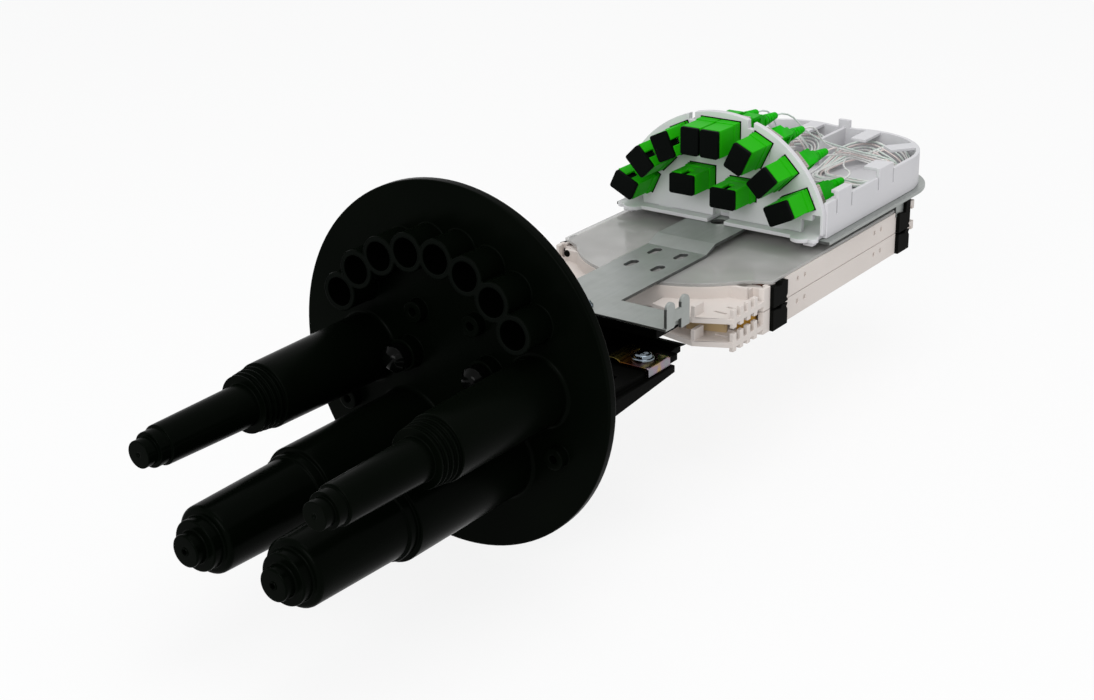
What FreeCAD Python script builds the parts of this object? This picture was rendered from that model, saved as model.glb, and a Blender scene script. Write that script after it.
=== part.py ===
import FreeCAD, Part
import math
import os

os.makedirs("parts", exist_ok=True)
V = FreeCAD.Vector

# Frame: origin at the centre of the base disc on its port face, Y along the
# closure towards the trays, Z up, all sizes in millimetres.

# Clearances: parts that are fixed together, parts that move, screws in their holes
fit = 0.1
run = 0.3
hole_fit = 0.3

# Base disc with the spigot that takes the dome
disc_r = 75.0
disc_t = 4.5
spigot_r = 66.0
spigot_wall = 3.5
spigot_h = 9.0
groove_y = 2.2
groove_w = 3.6
groove_d = 2.0

# Closed cable ports, a slim pair at the sides and a large pair below
slim_x = 42.0
slim_z = 0.0
slim_len = 121.5
slim_root_r = 14.0
slim_r = 13.1
slim_thick_len = 60.0
slim_ribs = 4
slim_rib = 2.5
slim_neck_r = 8.5
slim_tip_r = 7.75
slim_tip_rings = (6.85, 5.3)
large_x = 21.4
large_z = -31.5
large_len = 123.0
large_root_r = 17.4
large_r = 17.0
large_thick_len = 65.0
collar_r = 15.2
collar_w = 4.0
large_neck_r = 14.2
large_tip_r = 13.2
large_tip_rings = (10.0, 6.3)
port_wall = 2.4
tip_step = 4.7

# Drop cable tubes in an arc about the disc centre
drop_count = 8
drop_pcd_r = 50.5
drop_pitch = 16.3
drop_bore_r = 5.75
drop_wall = 2.05
drop_len = 14.4

# Bosses on the port face, and the studs that hold the frame
boss_r = 4.4
boss_h = 4.5
boss_hole_r = 1.7
low_boss_x = 51.7
low_boss_z = -24.0
top_boss_x = 14.2
top_boss_z = 21.5
stud_x = 19.7
stud_z = 2.8
stud_r = 3.0
stud_boss_r = 6.6
stud_boss_h = 6.0
dome_nut_r = 5.6
dome_nut_h = 8.2
bolt_head_r = 5.6
bolt_head_h = 4.0

# Anchor frame behind the disc
foot_t = 4.0
foot_half = 29.0
foot_top = 11.0
shelf_half = 47.0
shelf_top = -14.4
shelf_t = 3.0
shelf_end = 90.0
tail_half = 43.5
tail_end = 98.0
window_x = (22.0, 40.0)
window_y = (18.0, 56.0)
web_x = 12.0
web_t = 3.0
beam_half = 45.0
beam_t = 3.8
skirt_t = 3.4
skirt_out = 2.6
skirt_end = 84.0
skirt_deep = 10.0
skirt_thin = 3.2

# Strength member clamps with their screws
clamp_x = 40.5
clamp_y = 74.0
clamp_w = 15.0
clamp_l = 16.0
clamp_t = 1.5
clamp_lip = 3.9
saddle_r = 4.0
screw_r = 2.5
screw_head_r = 4.8
screw_head_h = 2.6
hex_r = 4.6
hex_h = 4.0

# Sheet metal carrier bracket
sheet = 1.5
bar_top = 1.0
bar_y0 = 76.5
bar_y1 = 95.0
bar_half = 50.0
prong_w = 6.4
prong_gap = 4.6
prong_h = 10.6
prong_in = 0.6
prong_web = (1.4, 6.0)
strip_half = 15.6
joggle_y0 = 163.0
joggle_y1 = 171.0
joggle_rise = 3.0
slot_len = 9.0
slot_w = 4.2
slot_x = 7.0
slot_y = (136.5, 155.5)
eye_y = 199.4
eye_r = 3.8
plate_y0 = 200.0
plate_y1 = 326.0
plate_corner = 35.0
plate_flange = 3.5
lug_w = 8.0
lug_in = 0.4
lug_reach = 2.5
bar_screw_x = 6.5
bar_screw_y = 81.0
bar_screw_r = 2.0
bar_head_r = 3.8
bar_head_h = 2.4

# Patch tray, whose half width sets the width of the plate and the splice trays
patch_half = 54.5
patch_lip_y = 195.5
patch_floor = 1.9
patch_wall = 2.0
lobe_r = 37.0
lobe_y = 290.0
rear_half = 7.5
rear_y = 325.2
wall_top = 20.0
rear_top = 20.6
ear_top = 24.0
ear_t = 1.6
front_ear = 6.0
rear_ear = 12.5
slit_w = 1.2
slit_foot = 13.5
slit_y = (213.0, 227.5, 254.5, 270.0)
leaf_t = 1.6
leaf_x = (12.0, 20.3)
leaf_y = 307.5
finger_at = 51.5
finger_in = 2.5
finger_w = 8.6
finger_l = 14.0
finger_turn = 39.0
spine_y = 298.5
spine_t = 2.0
tab_half = 3.3
tab_top = 24.6
nub_x = (45.5, 51.5)
nub_r = (5.0, 2.6)
lip_hook = (46.5, 51.5)
lip_hook_h = 2.3

# Splice trays
tray_margin = 2.5
tray_h = 10.4
tray_wall = 1.8
tray_floor = 1.6
tray_round_y = 179.7
tray_end = 296.0
tray_corner = 12.0
mouth_in = 15.0
mouth_step = 7.5
mouth_rise = 0.45
mouth_dip = 0.8
mouth_drop = 3.8
lid_t = 1.5
lid_inset = 0.2
lid_corner = (1.5, 7.0)
deck_lift = 2.4
deck_t = 2.5
nose_x0 = 16.0
nose_in = 16.0
nose_len = 25.5
nose_tip = 7.5
nose_slope = 5.0
fin_w = 2.0
fin_l = 7.4
tooth_pitch = 5.8
tooth_w = 2.8
tooth_h = 3.9
tooth_drop = 1.9
tooth_t = 2.0
tooth_count = 4
vent_l = 6.0
vent_w = 1.5
pillar_r = 3.6
hook_in = 5.5
hook_w = 3.0
hook_l = 5.5
drum_y = (190.0, 270.0)
drum_r = 16.0
drum_h = 6.0
comb_y = 232.0
comb_l = 8.0
comb_half = 21.0
comb_pitch = 5.0
rib_w = 1.2
rib_h = 5.0
peg_y = (176.0, 182.6, 250.6, 257.4)
peg_lift = 5.3
peg_w = 2.0

# Stacking links on the tray sides
link_len = 16.4
link_in = 1.6
link_out = 1.7
link_near = 5.0
link_far = 24.5
link_nick = 1.3
link_frame = 2.6

# Adapter panel, which stands in the front of the patch tray
panel_y0 = 200.5
panel_t = 3.0
panel_rise = 1.8
panel_inset = 0.5
panel_foot_x = 30.0
panel_foot_half = 4.0
side_slot = (11.0, 5.5, 1.5)
side_slot_h = (6.4, 9.2)
cable_notch = (-3.8, 5.0)
cable_notch_h = 6.0
cable_notch_l = 4.0
top_nick_x = (14.2, 17.2)
top_nick_d = 5.8

# Adapters, their clips, dust caps and connectors
ad_long = 13.0
ad_short = 9.5
ad_front = 17.2
ad_rear = 8.5
ad_flange = 0.35
ad_flange_t = 2.2
ad_bore_long = 9.6
ad_bore_short = 7.0
ad_key = 3.0
ad_key_l = 7.0
arc_in = 10.3
first_clear = 1.95
seat_clear = 3.24
twin_gap = 0.45
twin_rise = 0.2
low_left = (-9.4, 25.3)
low_right = (12.4, 21.8)
cap_t = 2.0
cap_plug = 7.0
clip_t = 0.3
clip_half = 3.4
con_play = 0.2
con_in = 5.0
con_body = 11.5
con_step = 0.6
con_neck = 5.5
con_neck_in = 0.9
boot_len = 13.0
boot_root_r = 2.9
boot_tip_r = 1.7

# Fibre pigtails and their storage coils
fibre_r = 0.45
loop_y = 290.5
loop_r = 18.5
coil_w = 6.0
coil_h = 5.8
coil_gap = 0.5
lead_run = 12.0
lead_x = 12.6
lead_step = 1.05


def box(x0, x1, y0, y1, z0, z1):
    return Part.makeBox(x1 - x0, y1 - y0, z1 - z0, V(x0, y0, z0))


def rod_x(y, z, r, x0, x1):
    return Part.makeCylinder(r, x1 - x0, V(x0, y, z), V(1, 0, 0))


def rod_y(x, z, r, y0, y1):
    return Part.makeCylinder(r, y1 - y0, V(x, y0, z), V(0, 1, 0))


def rod_z(x, y, r, z0, z1):
    return Part.makeCylinder(r, z1 - z0, V(x, y, z0), V(0, 0, 1))


def turned(x, z, profile):
    points = [V(x + r, y, z) for y, r in profile]
    face = Part.Face(Part.makePolygon(points + points[:1]))
    return face.revolve(V(x, 0, z), V(0, 1, 0), 360)


def plate_z(points, z0, z1):
    ring = [V(x, y, z0) for x, y in points]
    return Part.Face(Part.makePolygon(ring + ring[:1])).extrude(V(0, 0, z1 - z0))


def plate_x(points, x0, x1):
    ring = [V(x0, y, z) for y, z in points]
    return Part.Face(Part.makePolygon(ring + ring[:1])).extrude(V(x1 - x0, 0, 0))


def ring_y(sides, x, y, z, r):
    turns = [2 * math.pi * k / sides for k in range(sides)]
    points = [V(x + r * math.cos(a), y, z + r * math.sin(a)) for a in turns]
    return Part.makePolygon(points + points[:1])


def hexagon_y(x, z, r, y0, y1):
    return Part.Face(ring_y(6, x, y0, z, r)).extrude(V(0, y1 - y0, 0))


def hexagon_z(x, y, r, z0, z1):
    turns = [math.radians(60 * k) for k in range(6)]
    return plate_z([(x + r * math.cos(a), y + r * math.sin(a)) for a in turns], z0, z1)


def tapered(sides, y0, r0, y1, r1):
    return Part.makeLoft([ring_y(sides, 0, y0, 0, r0), ring_y(sides, 0, y1, 0, r1)], True, True)


def fuse(shapes):
    return shapes[0].multiFuse(shapes[1:]).removeSplitter()


def mirror_x(shape):
    return shape.mirror(V(0, 0, 0), V(1, 0, 0))


def pair(shape):
    return [shape, mirror_x(shape)]


def pairs(shapes):
    return [s for shape in shapes for s in pair(shape)]


def cut(shape, tools):
    return shape.cut(Part.makeCompound(tools))


def round_end(shape, y, r):
    edges = []
    for e in shape.Edges:
        a = e.Vertexes[0].Point
        b = e.Vertexes[-1].Point
        if abs(a.y - y) < 0.01 and abs(b.y - y) < 0.01 and abs(a.z - b.z) > 0.1:
            edges.append(e)
    return shape.makeFillet(r, edges)


def save(name, shape):
    shape.exportStep("parts/" + name + ".step")


# Levels, widths and places that follow from the sizes above
spigot_end = disc_t + spigot_h
foot_y0 = disc_t + fit
foot_y1 = foot_y0 + foot_t
shelf_bot = shelf_top - shelf_t
bar_bot = bar_top - sheet
beam_top = bar_bot - fit
plate_top = bar_top + joggle_rise
plate_bot = plate_top - sheet
plate_half = patch_half + plate_flange
tray_half = plate_half - tray_margin
lid_z1 = bar_bot - fit
lid_z0 = lid_z1 - lid_t
upper_z1 = lid_z0 - fit
upper_z0 = upper_z1 - tray_h
lower_z1 = upper_z0 - run
lower_z0 = lower_z1 - tray_h
mouth_x0 = tray_half - mouth_in
mouth_x1 = mouth_x0 + mouth_step
mouth_y0 = tray_round_y - math.sqrt(tray_half ** 2 - mouth_x0 ** 2) + mouth_rise
mouth_y1 = mouth_y0 + mouth_dip
mouth_y2 = mouth_y0 + mouth_drop
nose_x1 = tray_half - nose_in
nose_y2 = mouth_y2 - nose_len
nose_y1 = nose_y2 - nose_tip
link_x0 = tray_half - link_in
link_x1 = tray_half + link_out
link_ys = (mouth_y2 + link_near, tray_end - link_far)
lug_x0 = link_x0 + lug_in
lug_y0 = link_ys[1] + (link_len - 2 * lug_w) / 2 + run
lug_bot = lid_z0 - lug_reach
floor_z0 = plate_top + fit
floor_z1 = floor_z0 + patch_floor
panel_y1 = panel_y0 + panel_t
panel_r = patch_half + panel_rise
panel_half = patch_half - panel_inset
wall_y0 = panel_y1 + fit
ad_y0 = panel_y0 - ad_front
ad_y1 = panel_y1 + ad_rear
plug_y1 = ad_y1 + con_body
neck_y1 = plug_y1 + con_neck
loop_x = patch_half - patch_wall - coil_gap - coil_w - loop_r
coil_z0 = floor_z1 + fit
lead_y0 = neck_y1 + boot_len + fit


# Base moulding
def stepped_tip(length, rings, pip):
    profile = []
    y = -length + len(rings) * tip_step
    for r in rings:
        profile += [(y, r), (y - tip_step, r)]
        y -= tip_step
    return profile + [(y, pip), (y + pip, 0)]


def slim_port():
    shoulder = -slim_len + len(slim_tip_rings) * tip_step
    neck = -slim_thick_len - slim_ribs * slim_rib
    profile = [(disc_t, 0), (disc_t, slim_root_r), (0, slim_root_r), (-slim_thick_len, slim_r)]
    for k in range(slim_ribs):
        y = -slim_thick_len - k * slim_rib
        r = slim_r - 0.5 - 0.3 * k
        profile += [(y, r - 1.0), (y - slim_rib, r)]
    profile += [(neck, slim_neck_r), (shoulder, slim_tip_r)]
    return turned(slim_x, slim_z, profile + stepped_tip(slim_len, slim_tip_rings, 1.0))


def large_port():
    shoulder = -large_len + len(large_tip_rings) * tip_step
    collar = -large_thick_len
    neck = collar - collar_w
    profile = [(disc_t, 0), (disc_t, large_root_r), (0, large_root_r), (collar, large_r)]
    profile += [(collar, collar_r), (neck, collar_r), (neck, large_neck_r), (shoulder, large_tip_r)]
    return turned(large_x, large_z, profile + stepped_tip(large_len, large_tip_rings, 1.3))


def port_core(x, z, thick_r, thick_len, tip_r, rings, length):
    shoulder = -length + len(rings) * tip_step
    wide = rod_y(x, z, thick_r - port_wall, -thick_len + port_wall, disc_t + 1)
    narrow = rod_y(x, z, tip_r - port_wall, shoulder + port_wall, 0)
    return wide.fuse(narrow)


groove_y0 = disc_t + groove_y
groove_y1 = groove_y0 + groove_w
spigot = turned(0, 0, [
    (disc_t - 0.5, spigot_r - spigot_wall), (disc_t - 0.5, spigot_r),
    (groove_y0, spigot_r), (groove_y0, spigot_r - groove_d),
    (groove_y1, spigot_r - groove_d), (groove_y1, spigot_r),
    (spigot_end, spigot_r), (spigot_end, spigot_r - spigot_wall)])
solids = [rod_y(0, 0, disc_r, 0, disc_t), spigot] + pairs([slim_port(), large_port()])
cores = [
    port_core(slim_x, slim_z, slim_r, slim_thick_len, slim_tip_r, slim_tip_rings, slim_len),
    port_core(large_x, large_z, large_r, large_thick_len, large_tip_r, large_tip_rings, large_len)]
cuts = pairs(cores)
for k in range(drop_count):
    a = math.radians((k - (drop_count - 1) / 2) * drop_pitch)
    x = drop_pcd_r * math.sin(a)
    z = drop_pcd_r * math.cos(a)
    solids.append(rod_y(x, z, drop_bore_r + drop_wall, -drop_len, 0.5))
    cuts.append(rod_y(x, z, drop_bore_r, -drop_len - 1, disc_t + 1))
for x, z in ((low_boss_x, low_boss_z), (top_boss_x, top_boss_z)):
    solids += pair(rod_y(x, z, boss_r, -boss_h, 0.5))
    cuts += pair(rod_y(x, z, boss_hole_r, -boss_h - 1, 0))
solids += pair(rod_y(stud_x, stud_z, stud_boss_r, -stud_boss_h, 0.5))
cuts += pair(rod_y(stud_x, stud_z, stud_r + hole_fit, -stud_boss_h - 1, disc_t + 1))
save("base_moulding", cut(fuse(solids), cuts))

# Through bolts and domed nuts that hold the frame to the disc
nut_y0 = -stud_boss_h - fit
nut_y1 = nut_y0 - dome_nut_h
bolt_seat = foot_y1 + fit
nut = turned(stud_x, stud_z, [
    (nut_y0, stud_r + fit), (nut_y0, dome_nut_r), (nut_y1 + 3.4, dome_nut_r),
    (nut_y1 + 0.9, dome_nut_r - 2.4), (nut_y1, 0), (nut_y1 + 2.6, 0), (nut_y1 + 2.6, stud_r + fit)])
bolt = fuse([
    rod_y(stud_x, stud_z, stud_r, nut_y1 + 3.0, bolt_seat + 1),
    hexagon_y(stud_x, stud_z, bolt_head_r, bolt_seat, bolt_seat + bolt_head_h)])
save("dome_nuts", Part.makeCompound(pair(nut)))
save("frame_bolts", Part.makeCompound(pair(bolt)))

# Anchor frame
beam_y0 = bar_y0 + 0.5
beam_y1 = bar_y1 - 1.0
skirt_top = shelf_bot + 0.4
skirt_x1 = shelf_half + skirt_out
skirt = plate_x([
    (foot_y0, skirt_top), (skirt_end, skirt_top), (skirt_end, skirt_top - skirt_thin),
    (foot_y0, skirt_top - skirt_deep)], skirt_x1 - skirt_t, skirt_x1)
web = box(web_x - web_t / 2, web_x + web_t / 2, foot_y0, beam_y1, shelf_bot, beam_top)
anchor = fuse([
    box(-foot_half, foot_half, foot_y0, foot_y1, shelf_bot, foot_top),
    box(-shelf_half, shelf_half, foot_y0, shelf_end, shelf_bot, shelf_top),
    box(-tail_half, tail_half, foot_y0, tail_end, shelf_bot, shelf_top),
    box(-beam_half, beam_half, beam_y0, beam_y1, beam_top - beam_t, beam_top),
    box(-web_x, web_x, foot_y0, beam_y1, beam_top - web_t, beam_top)] + pairs([web, skirt]))
well = box(-web_x + web_t, web_x - web_t, *window_y, beam_top - web_t - 1, beam_top + 1)
anchor = cut(anchor, [well] + pairs([
    rod_y(stud_x, stud_z, stud_r + hole_fit, foot_y0 - 1, foot_y1 + 1),
    rod_z(clamp_x, clamp_y, screw_r + hole_fit, shelf_bot - 1, shelf_top + 1),
    rod_z(bar_screw_x, bar_screw_y, bar_screw_r + fit, beam_top - beam_t - 1, beam_top + 1),
    box(*window_x, *window_y, shelf_bot - 1, shelf_top + 1)]))
save("anchor_frame", anchor)

# Strength member clamps, their screws and nuts
clamp_z0 = shelf_top + fit
clamp_z1 = clamp_z0 + clamp_t
lip_x0 = shelf_half + fit
lip_x1 = lip_x0 + clamp_t
clamp_x0 = clamp_x - clamp_w / 2
clamp_y0 = clamp_y - clamp_l / 2
clamp_y1 = clamp_y + clamp_l / 2
saddle_x = clamp_x0 - saddle_r + clamp_t
saddle = rod_y(saddle_x, clamp_z0, saddle_r, clamp_y0, clamp_y1)
saddle = saddle.cut(rod_y(saddle_x, clamp_z0, saddle_r - clamp_t, clamp_y0 - 1, clamp_y1 + 1))
upper_half = box(saddle_x - saddle_r, clamp_x, clamp_y0, clamp_y1, clamp_z0, clamp_z0 + saddle_r)
clamp = fuse([
    box(clamp_x0 + 0.2, lip_x1, clamp_y0, clamp_y1, clamp_z0, clamp_z1),
    box(lip_x0, lip_x1, clamp_y0, clamp_y1, clamp_z1 - clamp_lip, clamp_z1),
    saddle.common(upper_half)])
clamp = clamp.cut(rod_z(clamp_x, clamp_y, screw_r + hole_fit, clamp_z0 - 1, clamp_z1 + 1))
save("clamp_right", clamp)
save("clamp_left", mirror_x(clamp))
head_z = clamp_z1 + fit
nut_top = shelf_bot - fit
clamp_screw = fuse([
    rod_z(clamp_x, clamp_y, screw_head_r, head_z, head_z + screw_head_h),
    rod_z(clamp_x, clamp_y, screw_r, nut_top - hex_h - 1.0, head_z + 0.1)])
clamp_nut = hexagon_z(clamp_x, clamp_y, hex_r, nut_top - hex_h, nut_top)
clamp_nut = clamp_nut.cut(rod_z(clamp_x, clamp_y, screw_r + fit, nut_top - hex_h - 1, nut_top + 1))
save("clamp_screws", Part.makeCompound(pair(clamp_screw)))
save("clamp_nuts", Part.makeCompound(pair(clamp_nut)))


# Carrier bracket folded from one sheet
def round_prong(y0, z0):
    y = y0 + prong_w / 2
    z1 = bar_top + prong_h - prong_w / 2
    x0 = bar_half - sheet
    return box(x0, bar_half, y0, y0 + prong_w, z0, z1).fuse(rod_x(y, z1, prong_w / 2, x0, bar_half))


def long_slot(x, y, z0, z1):
    reach = (slot_len - slot_w) / 2
    sides = box(x - slot_w / 2, x + slot_w / 2, y - reach, y + reach, z0, z1)
    return fuse([sides, rod_z(x, y - reach, slot_w / 2, z0, z1), rod_z(x, y + reach, slot_w / 2, z0, z1)])


strip = plate_x([
    (bar_y0, bar_bot), (bar_y0, bar_top), (joggle_y0, bar_top), (joggle_y1, plate_top),
    (plate_y0 + 1, plate_top), (plate_y0 + 1, plate_bot), (joggle_y1 + 0.4, plate_bot),
    (joggle_y0 + 0.4, bar_bot)], -strip_half, strip_half)
plate = box(-plate_half, plate_half, plate_y0, plate_y1, plate_bot, plate_top)
plate = round_end(plate, plate_y1, plate_corner)
prong_y0 = bar_y0 + prong_in
prong_y1 = prong_y0 + prong_w + prong_gap
prong_end = prong_y1 + prong_w
relief = box(
    bar_half - sheet - 0.01, bar_half + 1, prong_y0 + prong_w, bar_y1 + 1, bar_bot - 1, bar_top + 1)
bar = cut(box(-bar_half, bar_half, bar_y0, bar_y1, bar_bot, bar_top), pair(relief))
prong_bridge = box(
    bar_half - sheet, bar_half, prong_y0 + 1, prong_end - 1, bar_top + prong_web[0], bar_top + prong_web[1])
prongs = fuse([round_prong(prong_y0, bar_bot), round_prong(prong_y1, bar_bot - sheet), prong_bridge])
lug = box(lug_x0, lug_x0 + sheet, lug_y0, lug_y0 + lug_w, lug_bot, plate_top - 0.2)
bracket = fuse([strip, plate, bar] + pairs([prongs, lug]))
holes = [long_slot(slot_x, y, bar_bot - 1, bar_top + 1) for y in slot_y]
holes.append(rod_z(bar_screw_x, bar_screw_y, bar_screw_r + hole_fit, bar_bot - 1, bar_top + 1))
bracket = cut(bracket, [rod_z(0, eye_y, eye_r, plate_bot - 1, plate_top + 1)] + pairs(holes))
save("carrier_bracket", bracket)
bar_head = bar_top + fit
bar_screw = fuse([
    rod_z(bar_screw_x, bar_screw_y, bar_head_r, bar_head, bar_head + bar_head_h),
    rod_z(bar_screw_x, bar_screw_y, bar_screw_r, beam_top - beam_t - 0.2, bar_head + 0.1)])
save("bracket_screws", Part.makeCompound(pair(bar_screw)))


# Splice trays
def tub(inset, z0, z1):
    w = tray_half - inset
    end = tray_end - inset
    main = round_end(box(-w, w, tray_round_y, end, z0, z1), end, tray_corner - inset)
    corner = plate_z([
        (mouth_x0 - inset, mouth_y0 + inset), (mouth_x1, mouth_y1 + inset), (w, mouth_y2 + inset),
        (w, tray_round_y + 1), (mouth_x0 - inset, tray_round_y + 1)], z0, z1)
    return fuse([main, rod_z(0, tray_round_y, w, z0, z1)] + pair(corner))


def splice_tray(z0):
    z1 = z0 + tray_h
    deck0 = z0 + deck_lift
    deck1 = deck0 + deck_t
    shell = tub(0, z0, z1).cut(tub(tray_wall, z0 + tray_floor, z1 + 1))
    nose = plate_z([
        (nose_x0, tray_round_y - tray_half + 4), (nose_x0, nose_y1 + nose_slope), (nose_x1, nose_y1),
        (tray_half, nose_y2), (tray_half, mouth_y2 + 2), (mouth_x0, mouth_y2 + 2)], deck0, deck1)
    nose = nose.cut(tub(0.5, z0 - 1, z1 + 1))
    fin_y = nose_y1 + 0.6
    fin = box(nose_x1 - fin_w / 2, nose_x1 + fin_w / 2, fin_y, fin_y + fin_l, deck0, z1 - 0.6)
    pillar = rod_z(mouth_x1 + 0.6, mouth_y2 + 3.0, pillar_r, z0, z1 - 1.2)
    hook_x0 = tray_half - hook_in - hook_w / 2
    hook_x1 = hook_x0 + hook_w
    hook_y1 = tray_end + hook_l
    arm = box(hook_x0, hook_x1, tray_end - 6.0, hook_y1, z1 - 4.2, z1 - 1.6)
    barb = box(hook_x0, hook_x1, hook_y1 - 2.5, hook_y1, z1 - 6.0, z1 - 4.0)
    sides = [nose, fin, pillar, arm, barb]
    for k in range(tooth_count):
        y = nose_y2 + k * tooth_pitch
        tooth = box(tray_half - tooth_t, tray_half, y, y + tooth_w, deck0 - tooth_drop, deck1 + tooth_h)
        sides.append(tooth)
    middle = []
    for k in range(int(2 * comb_half / comb_pitch) + 1):
        x = -comb_half + k * comb_pitch
        rib = box(x, x + rib_w, comb_y, comb_y + comb_l, z0 + 1, z0 + tray_floor + rib_h)
        middle.append(rib)
    for y in drum_y:
        drum = rod_z(0, y, drum_r, z0 + 1, z0 + tray_floor + drum_h)
        middle.append(drum.cut(rod_z(0, y, drum_r - tray_wall, z0, z1)))
    tray = fuse([shell] + middle + pairs(sides))
    mouth_end = tray_half - tray_wall - 0.6
    gaps = [box(mouth_x1 + 0.4, mouth_end, mouth_y1 - 1, mouth_y2 + 2.5, deck1, z1 + 1)]
    for x, y in ((4.0, 3.5), (6.0, 10.5)):
        vent_x = nose_x1 + x
        vent_y = nose_y2 + y
        gaps.append(box(vent_x, vent_x + vent_l, vent_y, vent_y + vent_w, deck0 - 1, deck1 + 1))
    for y in link_ys:
        gaps.append(box(link_x0 - fit, tray_half + 1, y - fit, y + link_len + fit, z0 - 1, z1 + 1))
    peg_z = z0 + peg_lift
    for y in peg_y:
        peg = box(tray_half - 1.0, tray_half + 1, y - peg_w / 2, y + peg_w / 2, peg_z, peg_z + peg_w)
        gaps.append(peg)
    tray = cut(tray, pairs(gaps))
    back_x = link_x0 - fit
    backs = [box(back_x - 1.6, back_x, y - 1, y + link_len + 1, z0, z1) for y in link_ys]
    return fuse([tray] + pairs(backs))


save("upper_splice_tray", splice_tray(upper_z0))
save("lower_splice_tray", splice_tray(lower_z0))

# Clear lid of the upper tray
lid_half = tray_half - lid_inset
lid_main = box(-lid_half, lid_half, tray_round_y, tray_end, lid_z0, lid_z1)
lid_side = plate_z([
    (mouth_x0 - 2, mouth_y0 + lid_corner[0]), (lid_half, mouth_y2 + lid_corner[1]),
    (lid_half, tray_round_y + 1), (mouth_x0 - 2, tray_round_y + 1)], lid_z0, lid_z1)
lid_nose = rod_z(0, tray_round_y, lid_half, lid_z0, lid_z1)
lid = fuse([round_end(lid_main, tray_end, tray_corner), lid_nose] + pair(lid_side))
link_way = box(
    link_x0 - fit, tray_half + 1, link_ys[1] - fit, link_ys[1] + link_len + fit, lid_z0 - 1, lid_z1 + 1)
save("upper_tray_lid", cut(lid, pair(link_way)))


# Stacking links, one at each corner of each tray. The upper rear ones reach up to the plate
# and take its lugs.
def link(y, z0, z1):
    y1 = y + link_len
    notches = [box(link_x1 - 0.5, link_x1 + 1, y + 4.0, y1 - 4.0, z0 + link_frame, z1 - link_frame)]
    n = link_nick
    for z in (z0, z1):
        for e in (y, y1):
            notches.append(box(link_x1 - 1.4, link_x1 + 1, e - n, e + n, z - n, z + n))
    return cut(box(link_x0, link_x1, y, y1, z0, z1), notches)


lug_way = box(
    link_x0 - 1, lug_x0 + sheet + fit, lug_y0 - fit, lug_y0 + lug_w + fit, lug_bot - fit, plate_top)
rear_link = link(link_ys[1], upper_z0, plate_bot - fit).cut(lug_way)
upper_links = [link(link_ys[0], upper_z0, upper_z1), rear_link]
lower_links = [link(y, lower_z0, lower_z1) for y in link_ys]
save("upper_links", Part.makeCompound(pairs(upper_links)))
save("lower_links", Part.makeCompound(pairs(lower_links)))


# Patch tray, with two round lobes at the rear for the fibre coils
def patch_outline(inset, y0, z0, z1):
    half = patch_half - inset
    lobe = rod_z(patch_half - lobe_r, lobe_y, lobe_r - inset, z0, z1)
    middle = box(-rear_half, rear_half, lobe_y - 1, rear_y - inset, z0, z1)
    return fuse([box(-half, half, y0, lobe_y, z0, z1), middle] + pair(lobe))


def across(y0, y1, z0):
    return box(-patch_half - 1, patch_half + 1, y0, y1, z0, ear_top + 1)


walls = patch_outline(0, wall_y0, floor_z0, ear_top)
walls = walls.cut(patch_outline(patch_wall, wall_y0 - 1, floor_z1, ear_top + 1))
steps = [across(y - slit_w / 2, y + slit_w / 2, slit_foot) for y in slit_y]
steps.append(across(wall_y0 - 1, slit_y[0], wall_top + 0.8))
steps.append(across(slit_y[1], slit_y[2], wall_top))
steps.append(across(slit_y[3], lobe_y + lobe_r + 1, rear_top))
walls = cut(walls, steps)
inside = patch_outline(0.5, wall_y0, floor_z0, ear_top)
ear_x1 = patch_half - 0.5
ear_z0 = ear_top - ear_t
ears = [
    box(patch_half - front_ear, ear_x1, slit_y[0] + slit_w, slit_y[1] - slit_w, ear_z0, ear_top),
    box(patch_half - rear_ear, ear_x1, slit_y[2] + slit_w, slit_y[3] - slit_w, ear_z0, ear_top)]
leaf_z0 = rear_top - leaf_t
leaf = box(*leaf_x, leaf_y, lobe_y + lobe_r - 1, leaf_z0, rear_top)
finger = box(-finger_w / 2, finger_w / 2, -finger_l, 4.0, leaf_z0, rear_top)
finger.rotate(V(0, 0, 0), V(0, 0, 1), -finger_turn)
turn = math.radians(finger_at)
finger_r = lobe_r - finger_in
finger_x = patch_half - lobe_r + finger_r * math.sin(turn)
finger.translate(V(finger_x, lobe_y + finger_r * math.cos(turn), 0))
nubs = [rod_z(x, patch_lip_y + 0.6, r, floor_z0, floor_z1) for x, r in zip(nub_x, nub_r)]
hook = box(*lip_hook, patch_lip_y + 0.6, plate_y0 - fit, floor_z0 - lip_hook_h, floor_z0 + 0.5)
patch = fuse([
    walls,
    box(-patch_half + 2, patch_half - 2, patch_lip_y, wall_y0 + 3, floor_z0, floor_z1),
    box(-spine_t / 2, spine_t / 2, spine_y, rear_y - 1, floor_z0, rear_top),
    box(-tab_half, tab_half, rear_y - patch_wall, rear_y, wall_top - 1, tab_top)]
    + pairs(ears + nubs + [hook, leaf.common(inside), finger.common(inside)]))
foot_x0 = panel_foot_x - panel_foot_half
foot_x1 = panel_foot_x + panel_foot_half
foot_slot = box(foot_x0 - fit, foot_x1 + fit, panel_y0 - fit, wall_y0, floor_z0 - 1, floor_z1 + 1)
floor_notch = box(*cable_notch, patch_lip_y - 1, wall_y0 + cable_notch_l, floor_z0 - 1, floor_z1 + 1)
save("patch_tray", cut(patch, [floor_notch] + pair(foot_slot)))

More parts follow.
